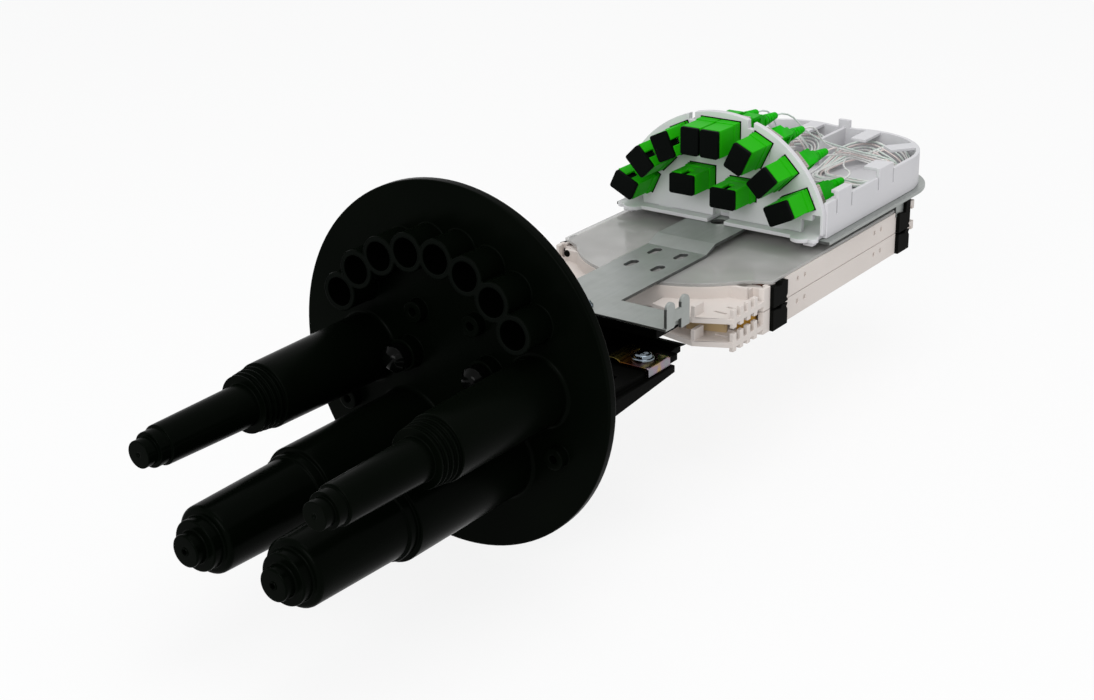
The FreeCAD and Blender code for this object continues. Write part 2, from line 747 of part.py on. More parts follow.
# Adapter seats on the panel: x, z and tilt about the axis. The flanges set the pitch:
# their inner corners keep a set distance from each other.
arc_r = panel_r - arc_in
twin_x = ad_short / 2 + twin_gap
flange_half = ad_short / 2 + ad_flange
corner_z = arc_r - ad_long / 2 - ad_flange
corner_turn = math.degrees(math.atan2(flange_half, corner_z))
first_x = twin_x + flange_half + first_clear
arc_first = corner_turn + math.degrees(math.asin(first_x / math.hypot(flange_half, corner_z)))
arc_step = 2 * math.degrees(math.atan2(flange_half + seat_clear / 2, corner_z))
seats = []
for k in (2, 1, 0):
    t = arc_first + k * arc_step
    seats.append((-arc_r * math.sin(math.radians(t)), arc_r * math.cos(math.radians(t)), -t))
seats.append((-twin_x, arc_r + twin_rise, 0.0))
seats += [(-x, z, -t) for x, z, t in reversed(seats)]
seats += [(x, z, 90.0) for x, z in (low_left, low_right)]


def seated(shape, seat):
    x, z, tilt = seat
    s = shape.copy()
    s.rotate(V(0, 0, 0), V(0, 1, 0), tilt)
    s.translate(V(x, 0, z))
    return s


def block(short, long, y0, y1):
    return box(-short / 2, short / 2, y0, y1, -long / 2, long / 2)


def through(x0, x1, z0, z1):
    return box(x0, x1, panel_y0 - 1, panel_y1 + 1, z0, z1)


# Adapter panel
panel = rod_y(0, 0, panel_r, panel_y0, panel_y1)
panel = panel.common(through(-panel_half, panel_half, floor_z1 + fit, panel_r + 1))
panel_foot = box(foot_x0, foot_x1, panel_y0, panel_y1, floor_z0 + 0.2, floor_z1 + 1)
panel = fuse([panel] + pair(panel_foot))
hole = block(ad_short + 2 * fit, ad_long + 2 * fit, panel_y0 - 1, panel_y1 + 1)
windows = [seated(hole, s) for s in seats]
slot_x1 = panel_half - side_slot[2]
for inset, height in zip(side_slot, side_slot_h):
    windows += pair(through(panel_half - inset, slot_x1, floor_z1 - 1, floor_z1 + height))
windows += pair(through(*top_nick_x, panel_r - top_nick_d, panel_r + 1))
windows.append(through(*cable_notch, floor_z1 - 1, floor_z1 + cable_notch_h))
save("adapter_panel", cut(panel, windows))

# Adapters with their spring clips, dust caps and plugged connectors
flange_y1 = panel_y0 - fit
flange = block(
    ad_short + 2 * ad_flange, ad_long + 2 * ad_flange, flange_y1 - ad_flange_t, flange_y1)
body = fuse([block(ad_short, ad_long, ad_y0, ad_y1), flange])
body = cut(body, [
    block(ad_bore_short, ad_bore_long, ad_y0 - 1, ad_y1 + 1),
    box(-ad_short, 1 - ad_bore_short / 2, ad_y0 - 1, ad_y0 + ad_key_l, -ad_key / 2, ad_key / 2)])
clip_x = ad_short / 2 + fit
spring = box(clip_x, clip_x + clip_t, panel_y1 + fit, ad_y1 - 1.5, -clip_half, clip_half)
cap_y1 = ad_y0 - run
cap = fuse([
    block(ad_short, ad_long, cap_y1 - cap_t, cap_y1),
    block(ad_bore_short - 2 * run, ad_bore_long - 2 * run, cap_y1 - 0.5, cap_y1 + cap_plug)])
con_short = ad_bore_short - 2 * con_play
con_long = ad_bore_long - 2 * con_play
connector = fuse([
    block(con_short, con_long, ad_y1 - con_in, ad_y1 + 1.0),
    block(con_short + 2 * con_step, con_long + 2 * con_step, ad_y1 + 0.4, plug_y1),
    block(con_short - 2 * con_neck_in, con_long - 2 * con_neck_in, plug_y1 - 0.5, neck_y1),
    tapered(8, neck_y1 - 0.5, boot_root_r, neck_y1 + boot_len, boot_tip_r)])
clips = []
for k, s in enumerate(seats):
    n = str(k + 1)
    keyed = body if s[0] > 0 or s[2] > 0 else mirror_x(body)
    save("adapter_" + n, seated(keyed, s))
    save("dust_cap_" + n, seated(cap, s))
    save("connector_" + n, seated(connector, s))
    clips += [seated(c, s) for c in pair(spring)]
save("adapter_clips", Part.makeCompound(clips))


# Fibre pigtails: straight runs joined by tangent arcs
def lead(points):
    edges = []
    radii = []
    last = points[0]
    for a, b, c in zip(points, points[1:], points[2:]):
        u = (a - b).normalize()
        w = (c - b).normalize()
        half = u.getAngle(w) / 2
        reach = 0.45 * min((a - b).Length, (c - b).Length)
        p = b + u * reach
        q = b + w * reach
        mid = (u + w).normalize()
        r = reach * math.tan(half)
        centre = b + mid * (reach / math.cos(half))
        edges.append(Part.LineSegment(last, p).toShape())
        edges.append(Part.Arc(p, centre - mid * r, q).toShape())
        radii.append(round(r, 1))
        last = q
    edges.append(Part.LineSegment(last, points[-1]).toShape())
    print("lead bend radii", radii)
    start = ring_y(6, points[0].x, points[0].y, points[0].z, fibre_r)
    return Part.Wire(edges).makePipeShell([start], True, False)


def side_leads(side):
    leads = []
    for k, (z, x) in enumerate(sorted([(z, x * side) for x, z, tilt in seats if x * side > 0])):
        rise = coil_z0 + 0.8 + k * lead_step
        leads.append(lead([
            V(x, lead_y0, z), V(x, lead_y0 + lead_run, z),
            V((x + lead_x) / 2, lead_y0 + 2.3 * lead_run, rise + 10.0 + 2 * k * lead_step),
            V(lead_x + 0.6 * k, loop_y + 12.0 - 0.9 * k, rise + 6.0),
            V(loop_x, loop_y + loop_r + 0.9 + k * lead_step, rise)]))
    return Part.makeCompound(leads)


save("pigtails_right", side_leads(1))
save("pigtails_left", mirror_x(side_leads(-1)))

# Storage coils lying in the rear lobes of the patch tray
coil = rod_z(loop_x, loop_y, loop_r + coil_w, coil_z0, coil_z0 + coil_h)
coil = coil.cut(rod_z(loop_x, loop_y, loop_r, coil_z0 - 1, coil_z0 + coil_h + 1))
save("coil_right", coil)
save("coil_left", mirror_x(coil))
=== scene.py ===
import math

import bmesh
import bpy
from mathutils import Matrix, Vector


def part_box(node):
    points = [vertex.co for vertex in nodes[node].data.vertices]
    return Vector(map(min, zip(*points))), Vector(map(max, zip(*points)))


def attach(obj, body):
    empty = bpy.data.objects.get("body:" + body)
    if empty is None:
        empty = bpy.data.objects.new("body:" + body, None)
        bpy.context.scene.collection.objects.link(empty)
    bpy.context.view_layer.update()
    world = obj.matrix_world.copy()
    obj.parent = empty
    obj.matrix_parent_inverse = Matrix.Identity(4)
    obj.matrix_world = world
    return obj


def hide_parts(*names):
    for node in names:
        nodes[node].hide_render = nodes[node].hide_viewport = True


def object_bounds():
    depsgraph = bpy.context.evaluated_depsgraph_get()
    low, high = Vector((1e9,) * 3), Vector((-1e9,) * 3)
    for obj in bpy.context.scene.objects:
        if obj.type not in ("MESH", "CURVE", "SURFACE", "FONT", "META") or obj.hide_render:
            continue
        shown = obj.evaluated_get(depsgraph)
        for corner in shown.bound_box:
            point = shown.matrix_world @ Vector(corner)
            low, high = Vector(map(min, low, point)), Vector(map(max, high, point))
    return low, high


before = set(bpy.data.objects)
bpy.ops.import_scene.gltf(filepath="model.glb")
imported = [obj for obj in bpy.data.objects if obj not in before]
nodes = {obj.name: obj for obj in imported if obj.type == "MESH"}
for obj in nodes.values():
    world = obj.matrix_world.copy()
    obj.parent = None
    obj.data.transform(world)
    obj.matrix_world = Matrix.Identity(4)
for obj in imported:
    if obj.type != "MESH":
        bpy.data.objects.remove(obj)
cad_low, cad_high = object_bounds()

MM = 0.001
scene = bpy.context.scene

# Camera at the angle of the photograph
PHOTO_W = 1094
PHOTO_H = 700
FOCAL_PX = 1800.0
CAMERA_DISTANCE = 0.6977
ORIGIN_PX = (450.22, 367.71)
TURN_ANGLE = math.radians(36.858)
RISE_ANGLE = math.radians(22.242)
ROLL_ANGLE = math.radians(-1.458)


def make_camera():
    back = Vector((
        math.sin(TURN_ANGLE) * math.cos(RISE_ANGLE),
        -math.cos(TURN_ANGLE) * math.cos(RISE_ANGLE),
        math.sin(RISE_ANGLE)))
    level = Vector((math.cos(TURN_ANGLE), math.sin(TURN_ANGLE), 0.0))
    upright = back.cross(level)
    right = level * math.cos(ROLL_ANGLE) + upright * math.sin(ROLL_ANGLE)
    up = upright * math.cos(ROLL_ANGLE) - level * math.sin(ROLL_ANGLE)
    across = (ORIGIN_PX[0] - PHOTO_W / 2) / FOCAL_PX * CAMERA_DISTANCE
    above = (PHOTO_H / 2 - ORIGIN_PX[1]) / FOCAL_PX * CAMERA_DISTANCE
    place = back * CAMERA_DISTANCE - right * across - up * above
    data = bpy.data.cameras.new("photo_camera")
    data.sensor_width = 36.0
    data.lens = FOCAL_PX / PHOTO_W * data.sensor_width
    data.clip_start = 0.01
    data.clip_end = 50.0
    camera = bpy.data.objects.new("photo_camera", data)
    turn = Matrix((right, up, back)).transposed().to_4x4()
    camera.matrix_world = Matrix.Translation(place) @ turn
    scene.collection.objects.link(camera)
    scene.camera = camera


make_camera()
scene.view_settings.view_transform = "Standard"


# Shader helpers
def new_material(name):
    material = bpy.data.materials.new(name)
    material.use_nodes = True
    tree = material.node_tree
    return material, tree, tree.nodes["Principled BSDF"]


def add(tree, kind, **values):
    node = tree.nodes.new(kind)
    for key, value in values.items():
        setattr(node, key, value)
    return node


def set_inputs(node, **values):
    for key, value in values.items():
        node.inputs[key.replace("_", " ")].default_value = value


def object_place(tree):
    return add(tree, "ShaderNodeTexCoord").outputs["Object"]


def noise(tree, vector, scale, detail=3.0, rough=0.5):
    node = add(tree, "ShaderNodeTexNoise")
    tree.links.new(vector, node.inputs["Vector"])
    set_inputs(node, Scale=scale, Detail=detail, Roughness=rough)
    return node.outputs["Fac"]


# Stretches a value from one range to another
def spread(tree, value, low, high, out_low=0.0, out_high=1.0):
    node = add(tree, "ShaderNodeMapRange")
    tree.links.new(value, node.inputs["Value"])
    set_inputs(node, From_Min=low, From_Max=high, To_Min=out_low, To_Max=out_high)
    return node.outputs["Result"]


def math_node(tree, operation, a, b):
    node = add(tree, "ShaderNodeMath", operation=operation)
    for socket, value in zip(node.inputs, (a, b)):
        if isinstance(value, (int, float)):
            socket.default_value = value
        else:
            tree.links.new(value, socket)
    return node.outputs["Value"]


def mix_colour(tree, factor, first, second):
    node = add(tree, "ShaderNodeMix", data_type="RGBA")
    for socket, value in ((node.inputs[0], factor), (node.inputs[6], first), (node.inputs[7], second)):
        if isinstance(value, tuple):
            socket.default_value = (*value, 1.0)
        else:
            tree.links.new(value, socket)
    return node.outputs[2]


def new_group(name, inputs, outputs):
    group = bpy.data.node_groups.new(name, "ShaderNodeTree")
    for label, kind, value in inputs:
        socket = group.interface.new_socket(label, in_out="INPUT", socket_type=kind)
        if value is not None:
            socket.default_value = value
    for label, kind in outputs:
        group.interface.new_socket(label, in_out="OUTPUT", socket_type=kind)
    start = group.nodes.new("NodeGroupInput")
    end = group.nodes.new("NodeGroupOutput")
    return group, start, end


# Moulded surface: fine spark grain, soft flow shading and handling dust, as masks
def make_moulded_group():
    group, start, end = new_group(
        "moulded_surface",
        [("Vector", "NodeSocketVector", None), ("Grain Scale", "NodeSocketFloat", 1500.0),
         ("Flow Scale", "NodeSocketFloat", 18.0)],
        [("Grain", "NodeSocketFloat"), ("Flow", "NodeSocketFloat"), ("Dust", "NodeSocketFloat")])
    vector = start.outputs["Vector"]
    fine = add(group, "ShaderNodeTexNoise")
    set_inputs(fine, Detail=2.0)
    flow = add(group, "ShaderNodeTexNoise")
    set_inputs(flow, Detail=2.0)
    specks = add(group, "ShaderNodeTexVoronoi")
    set_inputs(specks, Scale=420.0)
    patches = add(group, "ShaderNodeTexNoise")
    set_inputs(patches, Scale=55.0, Detail=4.0)
    for node in (fine, flow, specks, patches):
        group.links.new(vector, node.inputs["Vector"])
    group.links.new(start.outputs["Grain Scale"], fine.inputs["Scale"])
    group.links.new(start.outputs["Flow Scale"], flow.inputs["Scale"])
    dots = spread(group, specks.outputs["Distance"], 0.10, 0.22, 1.0, 0.0)
    areas = spread(group, patches.outputs["Fac"], 0.52, 0.72)
    dust = math_node(group, "MULTIPLY", dots, areas)
    group.links.new(fine.outputs["Fac"], end.inputs["Grain"])
    group.links.new(flow.outputs["Fac"], end.inputs["Flow"])
    group.links.new(dust, end.inputs["Dust"])
    return group


# Drawn metal: fine lines along one direction and plating bloom, as masks
def make_metal_group():
    group, start, end = new_group(
        "plated_metal",
        [("Vector", "NodeSocketVector", None), ("Line Scale", "NodeSocketFloat", 900.0),
         ("Bloom Scale", "NodeSocketFloat", 60.0)],
        [("Lines", "NodeSocketFloat"), ("Bloom", "NodeSocketFloat"), ("Spangle", "NodeSocketFloat")])
    lines = add(group, "ShaderNodeTexNoise")
    set_inputs(lines, Detail=3.0)
    stretch = add(group, "ShaderNodeMapping")
    set_inputs(stretch, Scale=(1.0, 0.03, 1.0))
    group.links.new(start.outputs["Vector"], stretch.inputs["Vector"])
    group.links.new(stretch.outputs["Vector"], lines.inputs["Vector"])
    group.links.new(start.outputs["Line Scale"], lines.inputs["Scale"])
    bloom = add(group, "ShaderNodeTexNoise")
    set_inputs(bloom, Detail=3.0)
    crystals = add(group, "ShaderNodeTexVoronoi")
    for node in (bloom, crystals):
        group.links.new(start.outputs["Vector"], node.inputs["Vector"])
        group.links.new(start.outputs["Bloom Scale"], node.inputs["Scale"])
    group.links.new(lines.outputs["Fac"], end.inputs["Lines"])
    group.links.new(bloom.outputs["Fac"], end.inputs["Bloom"])
    tone = add(group, "ShaderNodeSeparateColor")
    group.links.new(crystals.outputs["Color"], tone.inputs["Color"])
    group.links.new(tone.outputs["Red"], end.inputs["Spangle"])
    return group


moulded_surface = make_moulded_group()
plated_metal = make_metal_group()


def use_group(tree, group, vector, **values):
    node = add(tree, "ShaderNodeGroup", node_tree=group)
    tree.links.new(vector, node.inputs["Vector"])
    set_inputs(node, **values)
    return node


def bump(tree, shader, height, strength, distance):
    node = add(tree, "ShaderNodeBump")
    set_inputs(node, Strength=strength, Distance=distance)
    tree.links.new(height, node.inputs["Height"])
    tree.links.new(node.outputs["Normal"], shader.inputs["Normal"])


DUST_ROUGHNESS = 0.12
GRAIN_STRENGTH = 0.35
LINE_STRENGTH = 0.3
SPANGLE_SHARE = 0.10
SPANGLE_TONE = (0.45, 0.48, 0.50)
FOAM_GRAIN = 700.0


# Moulded plastics: two close tones, dust, and roughness that follows both
def plastic(name, tone, shade, dust, rough, dust_amount, specular, grain_depth, grain_scale=1500.0):
    material, tree, shader = new_material(name)
    vector = object_place(tree)
    marks = use_group(tree, moulded_surface, vector, Grain_Scale=grain_scale)
    flow = spread(tree, marks.outputs["Flow"], 0.35, 0.65)
    colour = mix_colour(tree, flow, tone, shade)
    soil = math_node(tree, "MULTIPLY", marks.outputs["Dust"], dust_amount)
    colour = mix_colour(tree, soil, colour, dust)
    tree.links.new(colour, shader.inputs["Base Color"])
    soft = spread(tree, marks.outputs["Flow"], 0.3, 0.7, *rough)
    gritty = math_node(tree, "MULTIPLY", marks.outputs["Dust"], DUST_ROUGHNESS)
    tree.links.new(math_node(tree, "ADD", soft, gritty), shader.inputs["Roughness"])
    set_inputs(shader, Specular_IOR_Level=specular)
    bump(tree, shader, marks.outputs["Grain"], GRAIN_STRENGTH, grain_depth)
    return material


base_black = plastic(
    "base_black", (0.0007, 0.0014, 0.0007), (0.0012, 0.0020, 0.0011), (0.010, 0.010, 0.009),
    rough=(0.22, 0.34), dust_amount=0.08, specular=0.013, grain_depth=0.00002)
# Bore walls and the gaps round the adapters: a darker black without gloss, as painted shade in recesses
painted_shade_black = plastic(
    "painted_shade_black", (0.0004, 0.0006, 0.0004), (0.0006, 0.0008, 0.0006), (0.006, 0.006, 0.005),
    rough=(0.5, 0.6), dust_amount=0.05, specular=0.0, grain_depth=0.00002)
rim_black = plastic(
    "rim_black", (0.0021, 0.0029, 0.0022), (0.0029, 0.0037, 0.0030), (0.016, 0.016, 0.015),
    rough=(0.45, 0.60), dust_amount=0.08, specular=0.012, grain_depth=0.00003)
nut_black = plastic(
    "nut_black", (0.0008, 0.0010, 0.0008), (0.0012, 0.0014, 0.0012), (0.010, 0.010, 0.009),
    rough=(0.10, 0.16), dust_amount=0.06, specular=0.06, grain_depth=0.000004)
frame_black = plastic(
    "frame_black", (0.0008, 0.0009, 0.0007), (0.0013, 0.0014, 0.0011), (0.012, 0.012, 0.011),
    rough=(0.42, 0.55), dust_amount=0.10, specular=0.016, grain_depth=0.00003)
cap_black = plastic(
    "cap_black", (0.0024, 0.0032, 0.0028), (0.0034, 0.0043, 0.0038), (0.015, 0.016, 0.015),
    rough=(0.38, 0.50), dust_amount=0.08, specular=0.018, grain_depth=0.00002)
link_black = plastic(
    "link_black", (0.0036, 0.0037, 0.0032), (0.0048, 0.0049, 0.0043), (0.018, 0.018, 0.016),
    rough=(0.42, 0.55), dust_amount=0.10, specular=0.012, grain_depth=0.00003)
tray_white = plastic(
    "tray_white", (0.725, 0.665, 0.625), (0.695, 0.635, 0.595), (0.52, 0.46, 0.42),
    rough=(0.42, 0.52), dust_amount=0.10, specular=0.12, grain_depth=0.000015)
patch_white = plastic(
    "patch_white", (0.665, 0.655, 0.675), (0.635, 0.63, 0.65), (0.46, 0.46, 0.45),
    rough=(0.38, 0.48), dust_amount=0.10, specular=0.12, grain_depth=0.000015)
adapter_green = plastic(
    "adapter_green", (0.020, 0.44, 0.004), (0.015, 0.40, 0.003), (0.04, 0.43, 0.015),
    rough=(0.36, 0.46), dust_amount=0.06, specular=0.040, grain_depth=0.000012)
plug_green = plastic(
    "plug_green", (0.0050, 0.45, 0.0006), (0.0040, 0.41, 0.0004), (0.02, 0.44, 0.012),
    rough=(0.36, 0.46), dust_amount=0.06, specular=0.022, grain_depth=0.000012)
amber_foam = plastic(
    "amber_foam", (0.58, 0.32, 0.05), (0.42, 0.21, 0.03), (0.66, 0.45, 0.16),
    rough=(0.80, 0.90), dust_amount=0.30, specular=0.10, grain_depth=0.0002, grain_scale=FOAM_GRAIN)
pale_foam = plastic(
    "pale_foam", (0.66, 0.51, 0.30), (0.58, 0.42, 0.22), (0.70, 0.60, 0.42),
    rough=(0.80, 0.90), dust_amount=0.30, specular=0.10, grain_depth=0.0002, grain_scale=FOAM_GRAIN)
# Darker, redder copy of the amber foam: its darkness is painted shade under the lid
painted_shade_foam = plastic(
    "painted_shade_foam", (0.10, 0.030, 0.010), (0.065, 0.018, 0.006), (0.16, 0.07, 0.03),
    rough=(0.80, 0.90), dust_amount=0.30, specular=0.10, grain_depth=0.0002, grain_scale=FOAM_GRAIN)
sleeve_white = plastic(
    "sleeve_white", (0.78, 0.77, 0.74), (0.74, 0.73, 0.70), (0.55, 0.54, 0.50),
    rough=(0.22, 0.30), dust_amount=0.05, specular=0.5, grain_depth=0.000005)


# Plated metals: two tones in blooms, pale spangles and fine drawn lines
def metal(name, tone, shade, rough, lines_depth, metallic=1.0, bloom_scale=60.0):
    material, tree, shader = new_material(name)
    marks = use_group(tree, plated_metal, object_place(tree), Bloom_Scale=bloom_scale)
    bloom = spread(tree, marks.outputs["Bloom"], 0.32, 0.68)
    colour = mix_colour(tree, bloom, tone, shade)
    spangle = spread(tree, marks.outputs["Spangle"], 0.0, 1.0, 0.0, SPANGLE_SHARE)
    colour = mix_colour(tree, spangle, colour, SPANGLE_TONE)
    tree.links.new(colour, shader.inputs["Base Color"])
    tree.links.new(spread(tree, marks.outputs["Lines"], 0.3, 0.7, *rough), shader.inputs["Roughness"])
    set_inputs(shader, Metallic=metallic)
    bump(tree, shader, marks.outputs["Lines"], LINE_STRENGTH, lines_depth)
    return material


bright_zinc = metal("bright_zinc", (0.12, 0.155, 0.19), (0.18, 0.21, 0.235), (0.12, 0.22), 0.000006)
zinc_sheet = metal(
    "zinc_sheet", (0.290, 0.308, 0.293), (0.325, 0.343, 0.328), (0.34, 0.44), 0.000006,
    metallic=0.55, bloom_scale=110.0)
spring_steel = metal(
    "spring_steel", (0.42, 0.37, 0.33), (0.31, 0.27, 0.24), (0.22, 0.34), 0.000004,
    metallic=0.6, bloom_scale=260.0)
# Very dark steel for the bracket's cut edges and slot walls: painted shade
painted_shade_steel = metal(
    "painted_shade_steel", (0.060, 0.064, 0.060), (0.085, 0.088, 0.083), (0.45, 0.58), 0.000006,
    metallic=0.5, bloom_scale=200.0)

FILM_FROM = 0.028
FILM_TO = 0.0488
FILM_STOPS = (
    (0.20, (0.14, 0.105, 0.023)), (0.34, (0.235, 0.092, 0.014)), (0.52, (0.14, 0.042, 0.023)),
    (0.70, (0.11, 0.046, 0.060)), (0.80, (0.38, 0.265, 0.057)), (0.88, (0.275, 0.20, 0.255)))


# Yellow passivated zinc: the film runs from olive and orange to brown, gold, lilac and teal at the lip
def make_yellow_zinc():
    material, tree, shader = new_material("yellow_zinc")
    vector = object_place(tree)
    parts = add(tree, "ShaderNodeSeparateXYZ")
    tree.links.new(vector, parts.inputs["Vector"])
    from_middle = math_node(tree, "ABSOLUTE", parts.outputs["X"], 0.0)
    outward = spread(tree, from_middle, FILM_FROM, FILM_TO, 0.0, 0.86)
    film = spread(tree, noise(tree, vector, 170.0, 2.0, 0.4), 0.3, 0.7, -0.07, 0.07)
    ramp = add(tree, "ShaderNodeValToRGB")
    tree.links.new(math_node(tree, "ADD", outward, film), ramp.inputs["Fac"])
    stops = ramp.color_ramp.elements
    stops[0].position = 0.0
    stops[0].color = (0.10, 0.087, 0.027, 1)
    stops[1].position = 1.0
    stops[1].color = (0.14, 0.27, 0.22, 1)
    for place, colour in FILM_STOPS:
        stop = stops.new(place)
        stop.color = (*colour, 1)
    tree.links.new(ramp.outputs["Color"], shader.inputs["Base Color"])
    marks = use_group(tree, plated_metal, vector)
    tree.links.new(spread(tree, marks.outputs["Lines"], 0.3, 0.7, 0.2, 0.34), shader.inputs["Roughness"])
    set_inputs(shader, Metallic=1.0)
    bump(tree, shader, marks.outputs["Lines"], 0.12, 0.000003)
    return material


yellow_zinc = make_yellow_zinc()


# Clear lid sheet: see-through with a grey tint, faint flow lines and scuffs
def make_clear_lid():
    material, tree, shader = new_material("clear_lid")
    vector = object_place(tree)
    marks = use_group(tree, moulded_surface, vector, Flow_Scale=30.0)
    flow = marks.outputs["Flow"]
    tint = mix_colour(tree, spread(tree, flow, 0.35, 0.65), (0.52, 0.515, 0.50), (0.585, 0.58, 0.565))
    tree.links.new(tint, shader.inputs["Base Color"])
    haze = spread(tree, flow, 0.3, 0.7, 0.50, 0.62)
    scuffs = math_node(tree, "MULTIPLY", marks.outputs["Dust"], 0.1)
    tree.links.new(math_node(tree, "ADD", haze, scuffs), shader.inputs["Alpha"])
    tree.links.new(spread(tree, flow, 0.3, 0.7, 0.02, 0.06), shader.inputs["Roughness"])
    set_inputs(shader, IOR=1.6)
    bump(tree, shader, flow, 0.06, 0.0003)
    return material


clear_lid = make_clear_lid()


# Fibre coatings: white, with the faint rose and mint of coloured cores
def fibre_coat(name, tone, shade):
    material, tree, shader = new_material(name)
    vector = object_place(tree)
    mottle = spread(tree, noise(tree, vector, 90.0), 0.35, 0.65)
    tree.links.new(mix_colour(tree, mottle, tone, shade), shader.inputs["Base Color"])
    set_inputs(shader, Roughness=0.35, Subsurface_Weight=0.15, Subsurface_Radius=(MM, MM, MM))
    return material


fibre_white = fibre_coat("fibre_white", (0.80, 0.80, 0.78), (0.74, 0.74, 0.73))
fibre_rose = fibre_coat("fibre_rose", (0.76, 0.66, 0.64), (0.72, 0.62, 0.60))
fibre_mint = fibre_coat("fibre_mint", (0.66, 0.74, 0.69), (0.62, 0.70, 0.65))

SHADING_ANGLE = math.radians(50)
FLAT_ANGLE = math.radians(0.5)
MERGE_WITHIN = 0.002 * MM
UPRIGHT = Matrix.Rotation(math.pi / 2, 4, "X")


# Mesh helpers: each piece is shaded smooth with its hard edges kept, and told its body
def finish_piece(name, bm, material, body, slot, *replaced):
    mesh = bpy.data.meshes.new(name)
    bm.to_mesh(mesh)
    bm.free()
    for one in material if isinstance(material, tuple) else (material,):
        mesh.materials.append(one)
    mesh.polygons.foreach_set("use_smooth", [True] * len(mesh.polygons))
    mesh.set_sharp_from_angle(angle=SHADING_ANGLE)
    piece = bpy.data.objects.new(name, mesh)
    scene.collection.objects.link(piece)
    weigh = piece.modifiers.new("even_shading", "WEIGHTED_NORMAL")
    weigh.keep_sharp = True
    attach(piece, body)
    if replaced:
        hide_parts(*replaced)
    return piece


# Copy of a CAD node, with its flat faces joined up again
def node_copy(node):
    bm = bmesh.new()
    bm.from_mesh(nodes[node].data)
    bmesh.ops.remove_doubles(bm, verts=bm.verts, dist=MERGE_WITHIN)
    bmesh.ops.dissolve_limit(bm, angle_limit=FLAT_ANGLE, verts=bm.verts, edges=bm.edges)
    bmesh.ops.triangulate(bm, faces=[f for f in bm.faces if len(f.verts) > 4])
    return bm


# Rounds the sharp edges, or those of them that pass a test on their two ends in mm
def ease_edges(bm, width, segments=2, sharper_than=32.0, where=None):
    limit = math.radians(sharper_than)
    edges = [e for e in bm.edges if len(e.link_faces) == 2 and e.calc_face_angle(0.0) > limit]
    if where:
        edges = [e for e in edges if where(e.verts[0].co / MM, e.verts[1].co / MM)]
    if edges:
        bmesh.ops.bevel(
            bm, geom=edges, offset=width * MM, offset_type="OFFSET", segments=segments, profile=0.5,
            affect="EDGES", clamp_overlap=False, material=-1)
    return bm


def eased_node(node, width, material, slot, body="closure", segments=2):
    bm = ease_edges(node_copy(node), width, segments)
    return finish_piece(node + "_finished", bm, material, body, slot, node)


def new_verts(made):
    return [v for v in made if isinstance(v, bmesh.types.BMVert)]


# Carries a face along Y through sections of (y, size across, size up) and leaves a closed solid
def carry(bm, face, sections):
    made = set(face.verts)
    y, wide, tall = sections[0]
    bmesh.ops.scale(bm, verts=face.verts, vec=(wide, 1, tall))
    bmesh.ops.translate(bm, verts=face.verts, vec=(0, y, 0))
    for next_y, next_wide, next_tall in sections[1:]:
        grown = bmesh.ops.extrude_face_region(bm, geom=[face])["geom"]
        verts = new_verts(grown)
        bmesh.ops.scale(bm, verts=verts, vec=(next_wide / wide, 1, next_tall / tall))
        bmesh.ops.translate(bm, verts=verts, vec=(0, next_y - y, 0))
        face = next(f for f in grown if isinstance(f, bmesh.types.BMFace))
        made.update(verts)
        y, wide, tall = next_y, next_wide, next_tall
    return list(made)


def square_face(bm):
    made = bmesh.ops.create_grid(bm, x_segments=1, y_segments=1, size=0.5, matrix=UPRIGHT)["verts"]
    return made[0].link_faces[0]


def round_face(bm, sides):
    made = bmesh.ops.create_circle(bm, cap_ends=True, segments=sides, radius=1.0, matrix=UPRIGHT)["verts"]
    return made[0].link_faces[0]


def square_bar(bm, sections):
    return carry(bm, square_face(bm), [(y * MM, w * MM, h * MM) for y, w, h in sections])


def round_bar(bm, sections, sides=20):
    return carry(bm, round_face(bm, sides), [(y * MM, r * MM, r * MM) for y, r in sections])


# Upright rectangular frame at a place along Y
def square_frame(bm, y, wide, tall, border, deep):
    face = square_face(bm)
    verts = list(face.verts)
    bmesh.ops.scale(bm, verts=verts, vec=(wide * MM, 1, tall * MM))
    bmesh.ops.translate(bm, verts=verts, vec=(0, y * MM, 0))
    bmesh.ops.inset_individual(bm, faces=[face], thickness=border * MM)
    sides = list(dict.fromkeys(f for v in verts for f in v.link_faces))
    made = list(dict.fromkeys(v for f in sides for v in f.verts))
    bmesh.ops.delete(bm, geom=[face], context="FACES_ONLY")
    grown = new_verts(bmesh.ops.extrude_face_region(bm, geom=sides)["geom"])
    bmesh.ops.translate(bm, verts=grown, vec=(0, deep * MM, 0))
    return made + grown


def full_turn(bm, geom, centre, axis, steps):
    bmesh.ops.spin(
        bm, geom=geom, cent=centre, axis=axis, dvec=(0, 0, 0), angle=2 * math.pi, steps=steps,
        use_merge=True, use_normal_flip=False, use_duplicate=False)


# Turns a closed profile of (radius, place along Y) into a ring
def turned_ring(bm, centre, profile, steps):
    axis = Vector((0, 1, 0))
    across = Vector((1, 0, 0))
    verts = [bm.verts.new(Vector(centre) + (across * r + axis * along) * MM) for r, along in profile]
    edges = [bm.edges.new((a, b)) for a, b in zip(verts, verts[1:] + verts[:1])]
    full_turn(bm, verts + edges, centre, axis, steps)


# Base disc with its ports, in mm: places of the ports and the drop tubes
LARGE_PORTS = ((21.4, -31.5), (-21.4, -31.5))
SLIM_PORTS = ((42.0, 0.0), (-42.0, 0.0))
LARGE_PORT_R = 17.4
SLIM_PORT_R = 14.0
TUBE_CIRCLE = 50.5
TUBE_STEP = math.radians(16.3)
TUBE_TURNS = [(k - 3.5) * TUBE_STEP for k in range(8)]
TUBES = [(TUBE_CIRCLE * math.sin(a), TUBE_CIRCLE * math.cos(a)) for a in TUBE_TURNS]
WITHIN_BORE = 6.2
WITHIN_TUBE = 8.2
BORE_END = 13.3
TUBE_END = (-15, -14)
TIPS_FROM = -90
RIM_FROM = 74


# Large rounding at the port tips and the rim
def near_tip(a, b):
    return a.y < TIPS_FROM and b.y < TIPS_FROM


